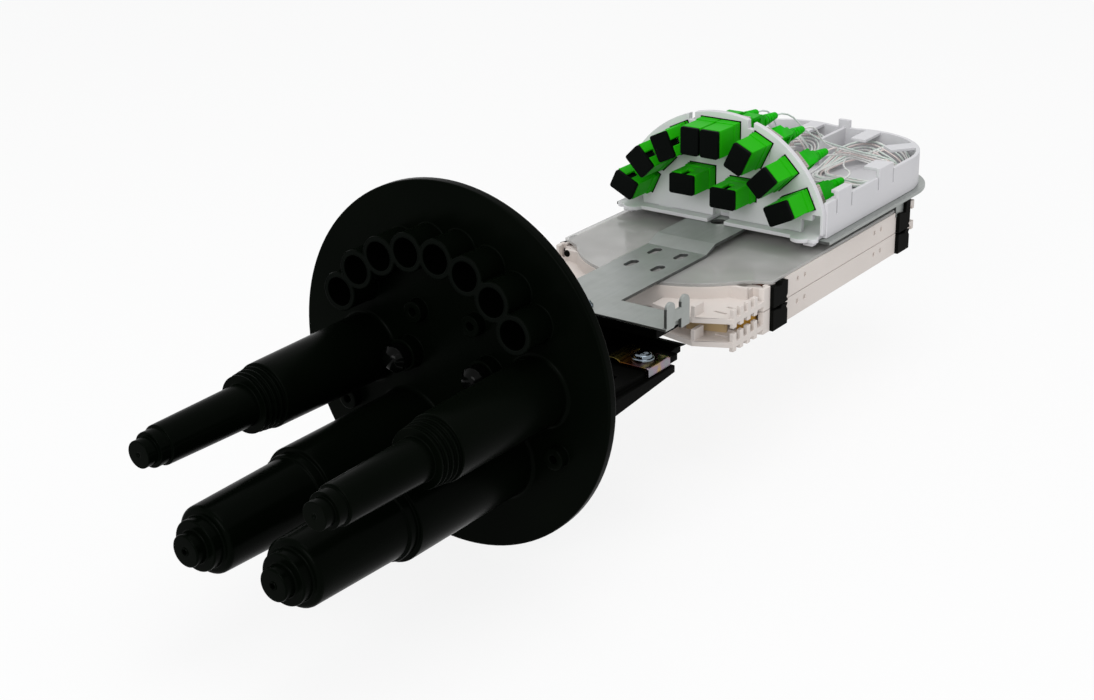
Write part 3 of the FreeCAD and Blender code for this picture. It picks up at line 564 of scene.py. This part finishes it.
def on_rim(a, b):
    return math.hypot(a.x, a.z) > RIM_FROM and math.hypot(b.x, b.z) > RIM_FROM


def from_axis(p, axes):
    return min(math.hypot(p.x - x, p.z - z) for x, z in axes)


def on_large_port(a, b):
    return near_tip(a, b) and max(from_axis(a, LARGE_PORTS), from_axis(b, LARGE_PORTS)) < 15


def large_shoulder(a, b):
    return on_large_port(a, b) and min(from_axis(a, LARGE_PORTS), from_axis(b, LARGE_PORTS)) > 12


def slim_shoulder(a, b):
    return near_tip(a, b) and min(from_axis(a, SLIM_PORTS), from_axis(b, SLIM_PORTS)) > 7.3


def at_tube_end(p):
    return TUBE_END[0] < p.y < TUBE_END[1] and from_axis(p, TUBES) < WITHIN_TUBE


def tube_rim(a, b):
    return at_tube_end(a) and at_tube_end(b)


def in_bore(p):
    return TUBE_END[1] < p.y < BORE_END and from_axis(p, TUBES) < WITHIN_BORE


bm = node_copy("base_moulding")
for face in bm.faces:
    middle = face.calc_center_median() / MM
    # Bore walls get the painted shade black, the tube end faces the rim black
    if in_bore(middle) and abs(face.normal.y) < 0.3:
        face.material_index = 1
    elif at_tube_end(middle) and face.normal.y < -0.9:
        face.material_index = 2
ease_edges(bm, 1.8, 4, where=large_shoulder)
ease_edges(bm, 0.7, 3, where=on_large_port)
ease_edges(bm, 0.5, 3, where=slim_shoulder)
ease_edges(bm, 0.3, 3, where=near_tip)
ease_edges(bm, 0.15, where=tube_rim)
ease_edges(bm, 0.9, 3, where=on_rim)
ease_edges(bm, 0.45)
finish_piece(
    "base_finished", bm, (base_black, painted_shade_black, rim_black), "closure", "base_black", "base_moulding")

# Soft fillets where the ports leave the disc
PORTS = [(x, z, SLIM_PORT_R) for x, z in SLIM_PORTS] + [(x, z, LARGE_PORT_R) for x, z in LARGE_PORTS]
FILLET = 1.5
FILLET_SINK = 0.3


def port_fillets():
    bm = bmesh.new()
    hollow = [math.radians(a) for a in (15, 35, 55, 75)]
    for x, z, r in PORTS:
        curve = [(r + FILLET * (1 - math.cos(a)), -FILLET * (1 - math.sin(a))) for a in hollow]
        inside = r - FILLET_SINK
        foot = [(r + FILLET, 0.0), (r + FILLET, FILLET_SINK)]
        profile = [(inside, FILLET_SINK), (inside, -FILLET), (r, -FILLET)] + curve + foot
        turned_ring(bm, (x * MM, 0, z * MM), profile, 64)
    bmesh.ops.recalc_face_normals(bm, faces=bm.faces)
    finish_piece("port_fillets", bm, base_black, "closure", "base_black")


port_fillets()

# Plain parts with eased edges
eased_node("dome_nuts", 0.5, nut_black, "cap_black", segments=3)
eased_node("frame_bolts", 0.3, bright_zinc, "bright_zinc")
eased_node("anchor_frame", 0.35, frame_black, "frame_black")
eased_node("clamp_nuts", 0.25, bright_zinc, "bright_zinc")
eased_node("upper_splice_tray", 0.22, tray_white, "tray_white")
eased_node("lower_splice_tray", 0.22, tray_white, "tray_white", "lower_tray")
eased_node("upper_tray_lid", 0.25, clear_lid, "clear_lid")

# Patch tray with its ears drawn in a little from the mould blocks
EARS = ((42.0, 45.5), (48.5, 50.4))
EARS_ABOVE = 22.3
bm = node_copy("patch_tray")
for old_x, new_x in EARS:
    for side in (1, -1):
        edge = [v for v in bm.verts if abs(v.co.x / MM - side * old_x) < 0.1 and v.co.z / MM > EARS_ABOVE]
        bmesh.ops.translate(bm, verts=edge, vec=(side * (new_x - old_x) * MM, 0, 0))
ease_edges(bm, 0.3)
finish_piece("patch_tray_finished", bm, patch_white, "closure", "patch_white", "patch_tray")
eased_node("adapter_panel", 0.25, patch_white, "patch_white")
eased_node("adapter_clips", 0.06, spring_steel, "spring_steel")

# Black web that closes the frame under the bracket bar, in two bars of (y, wide, tall) and a height
UPPER_WEB = ([(91.0, 71.4, 6.6), (93.6, 71.4, 6.6)], -7.75)
LOWER_WEB = ([(91.1, 98.4, 3.4), (93.5, 98.4, 3.4)], -12.65)
WEB_FOOT_BELOW = -14
WEB_FOOT_SHIFT = -6.4
bm = bmesh.new()
for sections, z in (UPPER_WEB, LOWER_WEB):
    bar = square_bar(bm, sections)
    bmesh.ops.translate(bm, verts=bar, vec=(0, 0, z * MM))
for side in (1, -1):
    foot = [v for v in bar if v.co.x * side > 0 and v.co.z < WEB_FOOT_BELOW * MM]
    bmesh.ops.translate(bm, verts=foot, vec=(side * WEB_FOOT_SHIFT * MM, 0, 0))
bmesh.ops.recalc_face_normals(bm, faces=bm.faces)
ease_edges(bm, 0.35)
finish_piece("frame_web", bm, frame_black, "closure", "frame_black")

# Stacking links: stepped top, nicked rear edge, and white packing behind them in the tray side
LINK_X = (53.9, 57.2)
LINK_GAPS = ((150.9, 167.5), (271.4, 288.0))
LINK_RUNS = ((151.4, 164.2), (273.2, 285.2))
TRAY_SIDE = 55.48
PEG_AT = (54.4, 150.9)
PEG_DROP = 3.2
PEG_SECTIONS = [(0.0, 1.3), (2.4, 1.3), (2.9, 0.9)]


def link_outline(y0, y1, z0, z1, nick_z, tab_z):
    turn = 1 if nick_z == z0 else -1
    rear = [(y1, nick_z + turn * 0.9), (y1 - 1.1, nick_z + turn * 2.1), (y1, nick_z + turn * 3.4)]
    rear = rear if turn > 0 else rear[::-1]
    top = [(y1, tab_z - 0.5), (y0 + 7.6, tab_z), (y0 + 6.7, z1 - 1.5), (y0 + 2.6, z1 - 0.8)]
    return [(y0, z0), (y1, z0)] + rear + top + [(y0, z1 - 0.6)]


def slab(bm, outline, x0, x1):
    face = bm.faces.new([bm.verts.new((x0 * MM, y * MM, z * MM)) for y, z in outline])
    grown = bmesh.ops.extrude_face_region(bm, geom=[face])["geom"]
    bmesh.ops.translate(bm, verts=new_verts(grown), vec=((x1 - x0) * MM, 0, 0))


def mirrored(bm):
    copy = bmesh.ops.duplicate(bm, geom=bm.verts[:] + bm.edges[:] + bm.faces[:])["geom"]
    bmesh.ops.scale(bm, verts=new_verts(copy), vec=(-1, 1, 1))
    bmesh.ops.recalc_face_normals(bm, faces=bm.faces)


def links(level, body, z0, z1, nick_z, tabs):
    bm = bmesh.new()
    for (y0, y1), tab_z in zip(LINK_RUNS, tabs):
        slab(bm, link_outline(y0, y1, z0, z1, nick_z, tab_z), *LINK_X)
    mirrored(bm)
    ease_edges(bm, 0.3, 2, sharper_than=25)
    for side in (1, -1):
        peg = round_bar(bm, PEG_SECTIONS, 16)
        seat = Matrix.Translation((side * PEG_AT[0] * MM, PEG_AT[1] * MM, (z1 - PEG_DROP) * MM))
        lie = seat @ Matrix.Rotation(side * math.pi / 2, 4, "Z")
        bmesh.ops.transform(bm, matrix=lie, verts=peg)
    bmesh.ops.recalc_face_normals(bm, faces=bm.faces)
    finish_piece(level + "_links_finished", bm, link_black, body, "link_black", level + "_links")
    bm = bmesh.new()
    for (g0, g1), (y0, y1) in zip(LINK_GAPS, LINK_RUNS):
        for a, b in ((g0, y0 - 0.05), (y1 + 0.05, g1)):
            slab(bm, [(a, z0), (b, z0), (b, z1), (a, z1)], LINK_X[0], TRAY_SIDE)
    mirrored(bm)
    ease_edges(bm, 0.12)
    finish_piece(level + "_link_packing", bm, tray_white, body, "tray_white")


links("upper", "closure", -12.6, -2.2, -12.6, (-2.2, 2.3))
links("lower", "lower_tray", -23.3, -12.9, -12.9, (-12.9, -12.9))


# Foam stops behind the combs and the gap of each tray mouth
def foam_stop(name, material, body, centre, size, turn=0.0):
    bm = bmesh.new()
    wide, deep, tall = size
    square_bar(bm, [(-deep / 2, wide, tall), (deep / 2, wide, tall)])
    place = Matrix.Translation(Vector(centre) * MM) @ Matrix.Rotation(math.radians(turn), 4, "Z")
    bmesh.ops.transform(bm, matrix=place, verts=bm.verts)
    mirrored(bm)
    ease_edges(bm, 0.4, 3)
    finish_piece(name, bm, material, body, "tray_white")


# The upper gap foam uses the darker foam, painted shade under the lid
foam_stop("upper_gap_foam", painted_shade_foam, "closure", (48.7, 153.5, -6.9), (6.2, 2.6, 8.4))
foam_stop("lower_comb_foam", amber_foam, "lower_tray", (50.5, 140.0, -16.2), (2.2, 14.0, 4.8))
foam_stop("lower_nose_foam", pale_foam, "lower_tray", (38.0, 127.5, -16.6), (18.0, 2.2, 4.0), 16.0)

# Black plug in the left mouth post of the upper tray
PLUG_AT = (-46.9, -3.95)
bm = bmesh.new()
plug = round_bar(bm, [(142.2, 1.2), (142.5, 1.6), (143.8, 1.6)], 24)
bmesh.ops.translate(bm, verts=plug, vec=(PLUG_AT[0] * MM, 0, PLUG_AT[1] * MM))
bmesh.ops.recalc_face_normals(bm, faces=bm.faces)
finish_piece("mouth_plug", bm, link_black, "closure", "link_black")


BAR_END = 84
TAB_OUTER = 49.9
TAB_INNER = (48.4, 48.6)
TAB_FOOT = (0.9, 1.1)
TABS_FROM = 48
STEP_FOLDS = (163.0, 171.0)


# Folded bracket: a wide bend at the tabs and small breaks on the cut edges; the cut edges and slot walls
# carry painted shade
def bend_outside(a, b):
    level = abs(a.z - b.z) < 0.01 and max(a.z, b.z) < 0
    return level and all(abs(p.x) > TAB_OUTER and p.y < BAR_END for p in (a, b))


def at_inner_bend(p):
    return TAB_INNER[0] < abs(p.x) < TAB_INNER[1] and TAB_FOOT[0] < p.z < TAB_FOOT[1] and p.y < BAR_END


def bend_inside(a, b):
    return at_inner_bend(a) and at_inner_bend(b)


def is_cut_edge(face):
    on_tab_side = abs(face.normal.x) > 0.7 and abs(face.calc_center_median().x) > TABS_FROM * MM
    return abs(face.normal.z) < 0.3 and not on_tab_side


bm = node_copy("carrier_bracket")
# Cut edge faces and slot walls get the painted shade steel
for face in bm.faces:
    face.material_index = 1 if is_cut_edge(face) else 0
ease_edges(bm, 1.3, 8, where=bend_outside)
ease_edges(bm, 0.5, 8, where=bend_inside)
ease_edges(bm, 0.22)
bracket = finish_piece(
    "bracket_finished", bm, (zinc_sheet, painted_shade_steel), "closure", "zinc_sheet", "carrier_bracket")
for edge in bracket.data.edges:
    ends = [bracket.data.vertices[i].co.y / MM for i in edge.vertices]
    if any(max(abs(y - fold) for y in ends) < 0.05 for fold in STEP_FOLDS):
        edge.use_edge_sharp = True

SCREW_STANDS = 2.7
SADDLE_SHARE = 0.5


# Clamps: the saddle is lower than in the CAD and the upper outer edge is a rounded lip
def clamp(side):
    low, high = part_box("clamp_" + side)
    outer = max(abs(low.x), abs(high.x)) / MM
    bm = node_copy("clamp_" + side)
    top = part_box("clamp_screws")[1].z / MM - SCREW_STANDS
    saddle = [v for v in bm.verts if v.co.z / MM > top + 0.1]
    bmesh.ops.scale(
        bm, verts=saddle, vec=(1, 1, SADDLE_SHARE), space=Matrix.Translation((0, 0, -top * MM)))

    def on_lip(a, b):
        return min(abs(a.x), abs(b.x)) > outer - 0.05 and min(a.z, b.z) > top - 0.15
    ease_edges(bm, 0.9, 3, where=on_lip)
    ease_edges(bm, 0.2)
    finish_piece("clamp_%s_finished" % side, bm, yellow_zinc, "closure", "yellow_zinc", "clamp_" + side)


clamp("right")
clamp("left")


# Pan head screws with a flange and a cross recess
def pan_screw(bm, x, y, under, radius, height, shank, tip):
    profile = [
        (shank * 0.7, tip), (shank, tip + 0.6), (shank, under), (radius, under),
        (radius, under + 0.24 * height),
        (radius * 0.95, under + 0.34 * height), (radius * 0.82, under + 0.40 * height),
        (radius * 0.79, under + 0.72 * height), (radius * 0.70, under + 0.90 * height),
        (radius * 0.56, under + height)]
    centre = Vector((x * MM, y * MM, 0))
    verts = [bm.verts.new(centre + Vector((r * MM, 0, z * MM))) for r, z in profile]
    edges = [bm.edges.new(pair) for pair in zip(verts, verts[1:])]
    full_turn(bm, verts + edges, centre, (0, 0, 1), 32)
    near = [e for e in bm.edges if e.is_boundary and (e.verts[0].co - centre).xy.length < radius * 1.2 * MM]
    rim = [e for e in near if e.verts[0].co.z > (under + 0.5 * height) * MM]
    bmesh.ops.edgeloop_fill(bm, edges=[e for e in near if e not in rim])
    arm, half = 0.40 * radius, 0.115 * radius
    cross = [(half, arm), (half, half), (arm, half), (arm, -half), (half, -half), (half, -arm),
             (-half, -arm), (-half, -half), (-arm, -half), (-arm, half), (-half, half), (-half, arm)]
    verts = [bm.verts.new(centre + Vector((u * MM, w * MM, (under + height) * MM))) for u, w in cross]
    edges = [bm.edges.new(pair) for pair in zip(verts, verts[1:] + verts[:1])]
    bmesh.ops.bridge_loops(bm, edges=rim + edges)
    floor = bmesh.ops.edgeloop_fill(bm, edges=edges)["faces"]
    sunk = new_verts(bmesh.ops.extrude_face_region(bm, geom=floor)["geom"])
    bmesh.ops.translate(bm, verts=sunk, vec=(0, 0, -0.45 * height * MM))
    bmesh.ops.scale(bm, verts=sunk, vec=(0.75, 0.75, 1), space=Matrix.Translation(-centre))


def screws(node, places, radius, height, shank):
    low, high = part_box(node)
    bm = bmesh.new()
    for x, y in places:
        pan_screw(bm, x, y, high.z / MM - height, radius, height, shank, low.z / MM)
    bmesh.ops.recalc_face_normals(bm, faces=bm.faces)
    finish_piece(node + "_finished", bm, bright_zinc, "closure", "bright_zinc", node)


screws("clamp_screws", ((40.5, 74.0), (-40.5, 74.0)), 4.8, 2.6, 2.5)
screws("bracket_screws", ((6.5, 81.0), (-6.5, 81.0)), 3.8, 2.4, 2.0)

# Seats of the adapters on the panel: x, z and tilt in degrees
SEATS = (
    (-41.504, 19.835, -64.457), (-32.514, 32.540, -44.978), (-19.802, 41.520, -25.498), (-5.2, 46.2, 0.0),
    (5.2, 46.2, 0.0), (19.802, 41.520, 25.498), (32.514, 32.540, 44.978), (41.504, 19.835, 64.457),
    (-9.4, 25.3, 90.0), (12.4, 21.8, 90.0))


def seat_place(seat):
    x, z, tilt = seat
    return Matrix.Translation((x * MM, 0, z * MM)) @ Matrix.Rotation(math.radians(tilt), 4, "Y")


# Test for edges that run along the adapter
def along(place):
    back = place.inverted()

    def test(a, b):
        step = back.to_3x3() @ (b - a)
        return abs(step.y) > 0.9 * step.length
    return test


# Painted shadow: dark frames in the gaps between the adapter flanges and the panel
def panel_shadow_frames():
    bm = bmesh.new()
    for seat in SEATS:
        made = square_frame(bm, 200.1, 11.0, 14.5, 0.8, 0.38)
        bmesh.ops.transform(bm, matrix=seat_place(seat), verts=made)
    bmesh.ops.recalc_face_normals(bm, faces=bm.faces)
    finish_piece("panel_shadow_frames", bm, painted_shade_black, "closure", "cap_black")


# Adapter: raised band in front of the flange, inner wall and socket ring, and a pale sleeve
SOCKET_RING = [(1.75, 195.0), (2.5, 195.0), (2.6, 200.2), (1.75, 200.2)]
SLEEVE = [(1.25, 193.6), (1.55, 193.4), (1.7, 193.7), (1.7, 200.1), (1.25, 200.1)]


def adapter(number, seat):
    place = seat_place(seat)
    node = "adapter_%d" % number
    extra = bmesh.new()
    square_frame(extra, 195.3, 10.1, 13.6, 0.55, 3.0)
    square_bar(extra, [(200.0, 7.1, 9.7), (201.6, 7.1, 9.7)])
    turned_ring(extra, (0, 0, 0), SOCKET_RING, 24)
    bmesh.ops.recalc_face_normals(extra, faces=extra.faces)
    ease_edges(extra, 0.15)
    bmesh.ops.transform(extra, matrix=place, verts=extra.verts)
    finish_piece("adapter_detail_%d" % number, extra, adapter_green, "closure", "adapter_green")
    bm = node_copy(node)
    ease_edges(bm, 0.45, 3, where=along(place))
    ease_edges(bm, 0.2)
    finish_piece(node + "_finished", bm, adapter_green, "closure", "adapter_green", node)
    sleeve = bmesh.new()
    turned_ring(sleeve, (0, 0, 0), SLEEVE, 24)
    bmesh.ops.recalc_face_normals(sleeve, faces=sleeve.faces)
    bmesh.ops.transform(sleeve, matrix=place, verts=sleeve.verts)
    finish_piece("sleeve_%d" % number, sleeve, sleeve_white, "closure", "fibre_white")


def dust_cap(number, seat):
    node = "dust_cap_%d" % number
    bm = node_copy(node)
    ease_edges(bm, 1.1, 4, where=along(seat_place(seat)))
    ease_edges(bm, 0.4, 3)
    finish_piece(node + "_finished", bm, cap_black, "cap_%d" % number, "cap_black", node)


# Plugged connector, in sections along Y: housing with finger grips, stepped shoulder and a soft boot
PLUG_NOSE = [(207.0, 6.6, 9.2), (212.6, 6.6, 9.2)]
PLUG_HOUSING = [
    (212.4, 7.2, 9.8), (212.9, 7.8, 10.4), (222.6, 7.8, 10.4), (223.5, 6.6, 9.0), (223.9, 5.2, 7.8),
    (227.6, 4.8, 7.4), (229.0, 4.2, 5.8)]
PLUG_GRIP = [(214.6, 0.7, 7.6), (214.8, 1.0, 8.0), (215.3, 1.0, 8.0), (215.5, 0.7, 7.6)]
PLUG_BOOT = [
    (228.4, 2.85), (229.6, 2.9), (230.9, 2.8), (231.1, 2.6), (231.8, 2.55), (232.0, 2.65),
    (233.7, 2.5), (233.9, 2.3), (234.6, 2.25), (234.8, 2.35), (236.5, 2.2), (236.7, 2.0),
    (237.4, 1.95), (237.6, 2.05), (239.8, 1.85), (241.2, 1.7), (241.8, 1.4), (242.0, 0.9)]
GRIP_STEP = 1.8
GRIP_X = 3.75


def connector(number, seat):
    node = "connector_%d" % number
    bm = bmesh.new()
    square_bar(bm, PLUG_NOSE)
    square_bar(bm, PLUG_HOUSING)
    for side in (1, -1):
        for k in range(4):
            verts = square_bar(bm, [(y + GRIP_STEP * k, wide, tall) for y, wide, tall in PLUG_GRIP])
            bmesh.ops.translate(bm, verts=verts, vec=(side * GRIP_X * MM, 0, 0))
    bmesh.ops.recalc_face_normals(bm, faces=bm.faces)
    ease_edges(bm, 0.25, 2, sharper_than=40)
    round_bar(bm, PLUG_BOOT)
    bmesh.ops.recalc_face_normals(bm, faces=bm.faces)
    bmesh.ops.transform(bm, matrix=seat_place(seat), verts=bm.verts)
    finish_piece(node + "_finished", bm, plug_green, "closure", "adapter_green", node)


# Spring straps over the outer ends of the adapters, each with a raised tongue
STRAP = [(203.6, 9.2, 0.3), (210.6, 9.2, 0.3), (211.3, 7.6, 0.3)]
TONGUE = [(204.4, 3.2, 0.2), (205.2, 3.4, 0.5), (208.4, 3.4, 0.8), (209.6, 3.2, 0.3)]
STRAP_Z = 6.68


def clip_straps():
    bm = bmesh.new()
    for seat in SEATS:
        strap = square_bar(bm, STRAP)
        tongue = square_bar(bm, TONGUE)
        bmesh.ops.translate(bm, verts=strap + tongue, vec=(0, 0, STRAP_Z * MM))
        bmesh.ops.transform(bm, matrix=seat_place(seat), verts=strap + tongue)
    bmesh.ops.recalc_face_normals(bm, faces=bm.faces)
    ease_edges(bm, 0.08)
    finish_piece("clip_straps", bm, spring_steel, "closure", "spring_steel")


clip_straps()
panel_shadow_frames()
for number, seat in enumerate(SEATS, 1):
    adapter(number, seat)
    dust_cap(number, seat)
    connector(number, seat)

# Pigtails, in mm: one spline each from its boot, over the tray and round the turns of the coil
FIBRE_R = 0.45
LEAD_Y = 242.1
LEAD_RUN = 12.0
LEAD_X = 12.6
LEAD_STEP = 1.05
COIL_Z = 6.1
LOOP_X = 27.5
LOOP_Y = 290.5
LOOP_R = 18.5
TURNS = (1.3, 2.2, 3.1, 3.7, 4.5)
POINTS_A_TURN = 14
MERGE_POINTS = 7
LANES = 7
LOOSE = 5.0
TOP_LIFT = 10.4
LANE_LIFT = 1.55
LOBE = (17.5, 290.0)
LOBE_R = 34.4
MIDDLE = (22.0, 290.0)
SPINE_X = 2.2
FRONT_Y = 271.0
CORE_TINTS = (0, 0, 1, 0, 2)


# Room from the middle of the turns to the lobe wall, the spine and the front, less a lane
def reach(turn, lane):
    across, ahead = math.sin(turn), math.cos(turn)
    shift = (MIDDLE[0] - LOBE[0]) * across
    wall = math.sqrt(shift ** 2 + (LOBE_R - lane) ** 2 - (MIDDLE[0] - LOBE[0]) ** 2) - shift
    room = [wall]
    if across < -0.05:
        room.append((MIDDLE[0] - SPINE_X - lane) / -across)
    if ahead < -0.05:
        room.append((MIDDLE[1] - FRONT_Y - lane) / -ahead)
    return sum(r ** -8 for r in room) ** (-1 / 8)


def lead_route(k, x, z):
    rise = COIL_Z + 0.8 + k * LEAD_STEP
    start_y = LOOP_Y + LOOP_R + 0.9 + k * LEAD_STEP
    points = [
        (x, LEAD_Y, z), (x, LEAD_Y + LEAD_RUN, z),
        ((x + LEAD_X) / 2, LEAD_Y + 2.3 * LEAD_RUN, rise + 10.0 + 2 * k * LEAD_STEP),
        (LEAD_X + 0.6 * k, LOOP_Y + 12.0 - 0.9 * k, rise + 6.0),
        (LOOP_X, start_y, rise)]
    first = math.atan2(LOOP_X - MIDDLE[0], start_y - MIDDLE[1])
    near = math.hypot(LOOP_X - MIDDLE[0], start_y - MIDDLE[1])
    for j in range(1, int(TURNS[k] * POINTS_A_TURN) + 1):
        turn = first + 2 * math.pi * j / POINTS_A_TURN
        lane = (3 * k + 2 * (j // POINTS_A_TURN)) % LANES
        merge = min(1.0, j / MERGE_POINTS)
        loose = LOOSE * (0.5 - 0.5 * math.cos(turn)) * (0.5 + 0.5 * math.sin(turn + 2.4 * lane + k))
        spacing = 0.85 + 0.8 * max(0.0, math.cos(turn))
        radius = near + (reach(turn, 0.3 + spacing * lane + loose) - near) * merge
        lift = (TOP_LIFT - LANE_LIFT * lane) * max(0.0, math.cos(turn - 0.1)) ** 1.5
        height = rise + (COIL_Z + 0.7 + 0.25 * lane + lift - rise) * merge
        points.append((MIDDLE[0] + radius * math.sin(turn), MIDDLE[1] + radius * math.cos(turn), height))
    return points


def pigtails(name, side, *replaced):
    curve = bpy.data.curves.new(name, "CURVE")
    curve.dimensions = "3D"
    curve.bevel_depth = FIBRE_R * MM
    curve.bevel_resolution = 2
    curve.resolution_u = 4
    curve.use_fill_caps = True
    for material in (fibre_white, fibre_rose, fibre_mint):
        curve.materials.append(material)
    chosen = sorted((z, x * side) for x, z, tilt in SEATS if x * side > 0)
    for k, (z, x) in enumerate(chosen):
        route = lead_route(k, x, z)
        spline = curve.splines.new("NURBS")
        spline.points.add(len(route) - 1)
        for point, place in zip(spline.points, route):
            point.co = (place[0] * side * MM, place[1] * MM, place[2] * MM, 1.0)
        spline.order_u = 3
        spline.use_endpoint_u = True
        spline.material_index = CORE_TINTS[k]
    piece = bpy.data.objects.new(name, curve)
    scene.collection.objects.link(piece)
    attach(piece, "closure")
    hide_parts(*replaced)


pigtails("fibres_right", 1, "pigtails_right", "coil_right")
pigtails("fibres_left", -1, "pigtails_left", "coil_left")

FLOOR_DROP = 0.0095
FLOOR_RADIUS = 12.0
FLOOR_TONE = (0.85, 0.85, 0.85, 1)
FLOOR_GLOW = 0.85
WORLD_TONE = (0.98, 0.99, 1.0, 1)
WORLD_LIGHT = 0.66


# Rays that meet plain white: from the camera, through glass and off glossy surfaces
def light_path(tree):
    path = add(tree, "ShaderNodeLightPath")
    seen = math_node(tree, "MAXIMUM", path.outputs["Is Camera Ray"], path.outputs["Is Transmission Ray"])
    return math_node(tree, "MAXIMUM", seen, path.outputs["Is Glossy Ray"])


# Floor that is white to the camera and keeps a faint shadow
def make_floor():
    bm = bmesh.new()
    bmesh.ops.create_circle(bm, cap_ends=True, segments=64, radius=FLOOR_RADIUS)
    bmesh.ops.translate(bm, verts=bm.verts, vec=(0, 0.1, cad_low.z - FLOOR_DROP))
    mesh = bpy.data.meshes.new("floor")
    bm.to_mesh(mesh)
    bm.free()
    floor = bpy.data.objects.new("floor", mesh)
    scene.collection.objects.link(floor)
    material, tree, shader = new_material("pale_floor")
    seen = light_path(tree)
    set_inputs(shader, Base_Color=FLOOR_TONE, Roughness=0.9, Specular_IOR_Level=0.0)
    glow = add(tree, "ShaderNodeEmission")
    mixer = add(tree, "ShaderNodeMixShader")
    share = math_node(tree, "MULTIPLY", seen, FLOOR_GLOW)
    tree.links.new(share, mixer.inputs["Fac"])
    tree.links.new(shader.outputs["BSDF"], mixer.inputs[1])
    tree.links.new(glow.outputs["Emission"], mixer.inputs[2])
    tree.links.new(mixer.outputs["Shader"], tree.nodes["Material Output"].inputs["Surface"])
    mesh.materials.append(material)


# Even light from all around, white where it is seen
def make_world():
    world = bpy.data.worlds.new("studio")
    scene.world = world
    world.use_nodes = True
    tree = world.node_tree
    light = tree.nodes["Background"]
    set_inputs(light, Color=WORLD_TONE, Strength=WORLD_LIGHT)
    seen = light_path(tree)
    white = add(tree, "ShaderNodeBackground")
    set_inputs(white, Color=(1, 1, 1, 1), Strength=1.0)
    mixer = add(tree, "ShaderNodeMixShader")
    tree.links.new(seen, mixer.inputs["Fac"])
    tree.links.new(light.outputs["Background"], mixer.inputs[1])
    tree.links.new(white.outputs["Background"], mixer.inputs[2])
    tree.links.new(mixer.outputs["Shader"], tree.nodes["World Output"].inputs["Surface"])


# Two large soft lights, one above and one in front
def soft_box(name, place, aim, size, watts):
    data = bpy.data.lights.new(name, "AREA")
    data.shape = "RECTANGLE"
    data.size, data.size_y = size
    data.energy = watts
    lamp = bpy.data.objects.new(name, data)
    lamp.location = place
    lamp.rotation_euler = (Vector(aim) - Vector(place)).to_track_quat("-Z", "Y").to_euler()
    scene.collection.objects.link(lamp)


make_floor()
make_world()
soft_box("top_box", (0.25, 0.1, 1.3), (0, 0.12, 0), (1.0, 1.0), 5.6)
soft_box("front_box", (0.3, -1.5, 0.75), (0, 0.15, 0), (1.0, 0.7), 13.0)
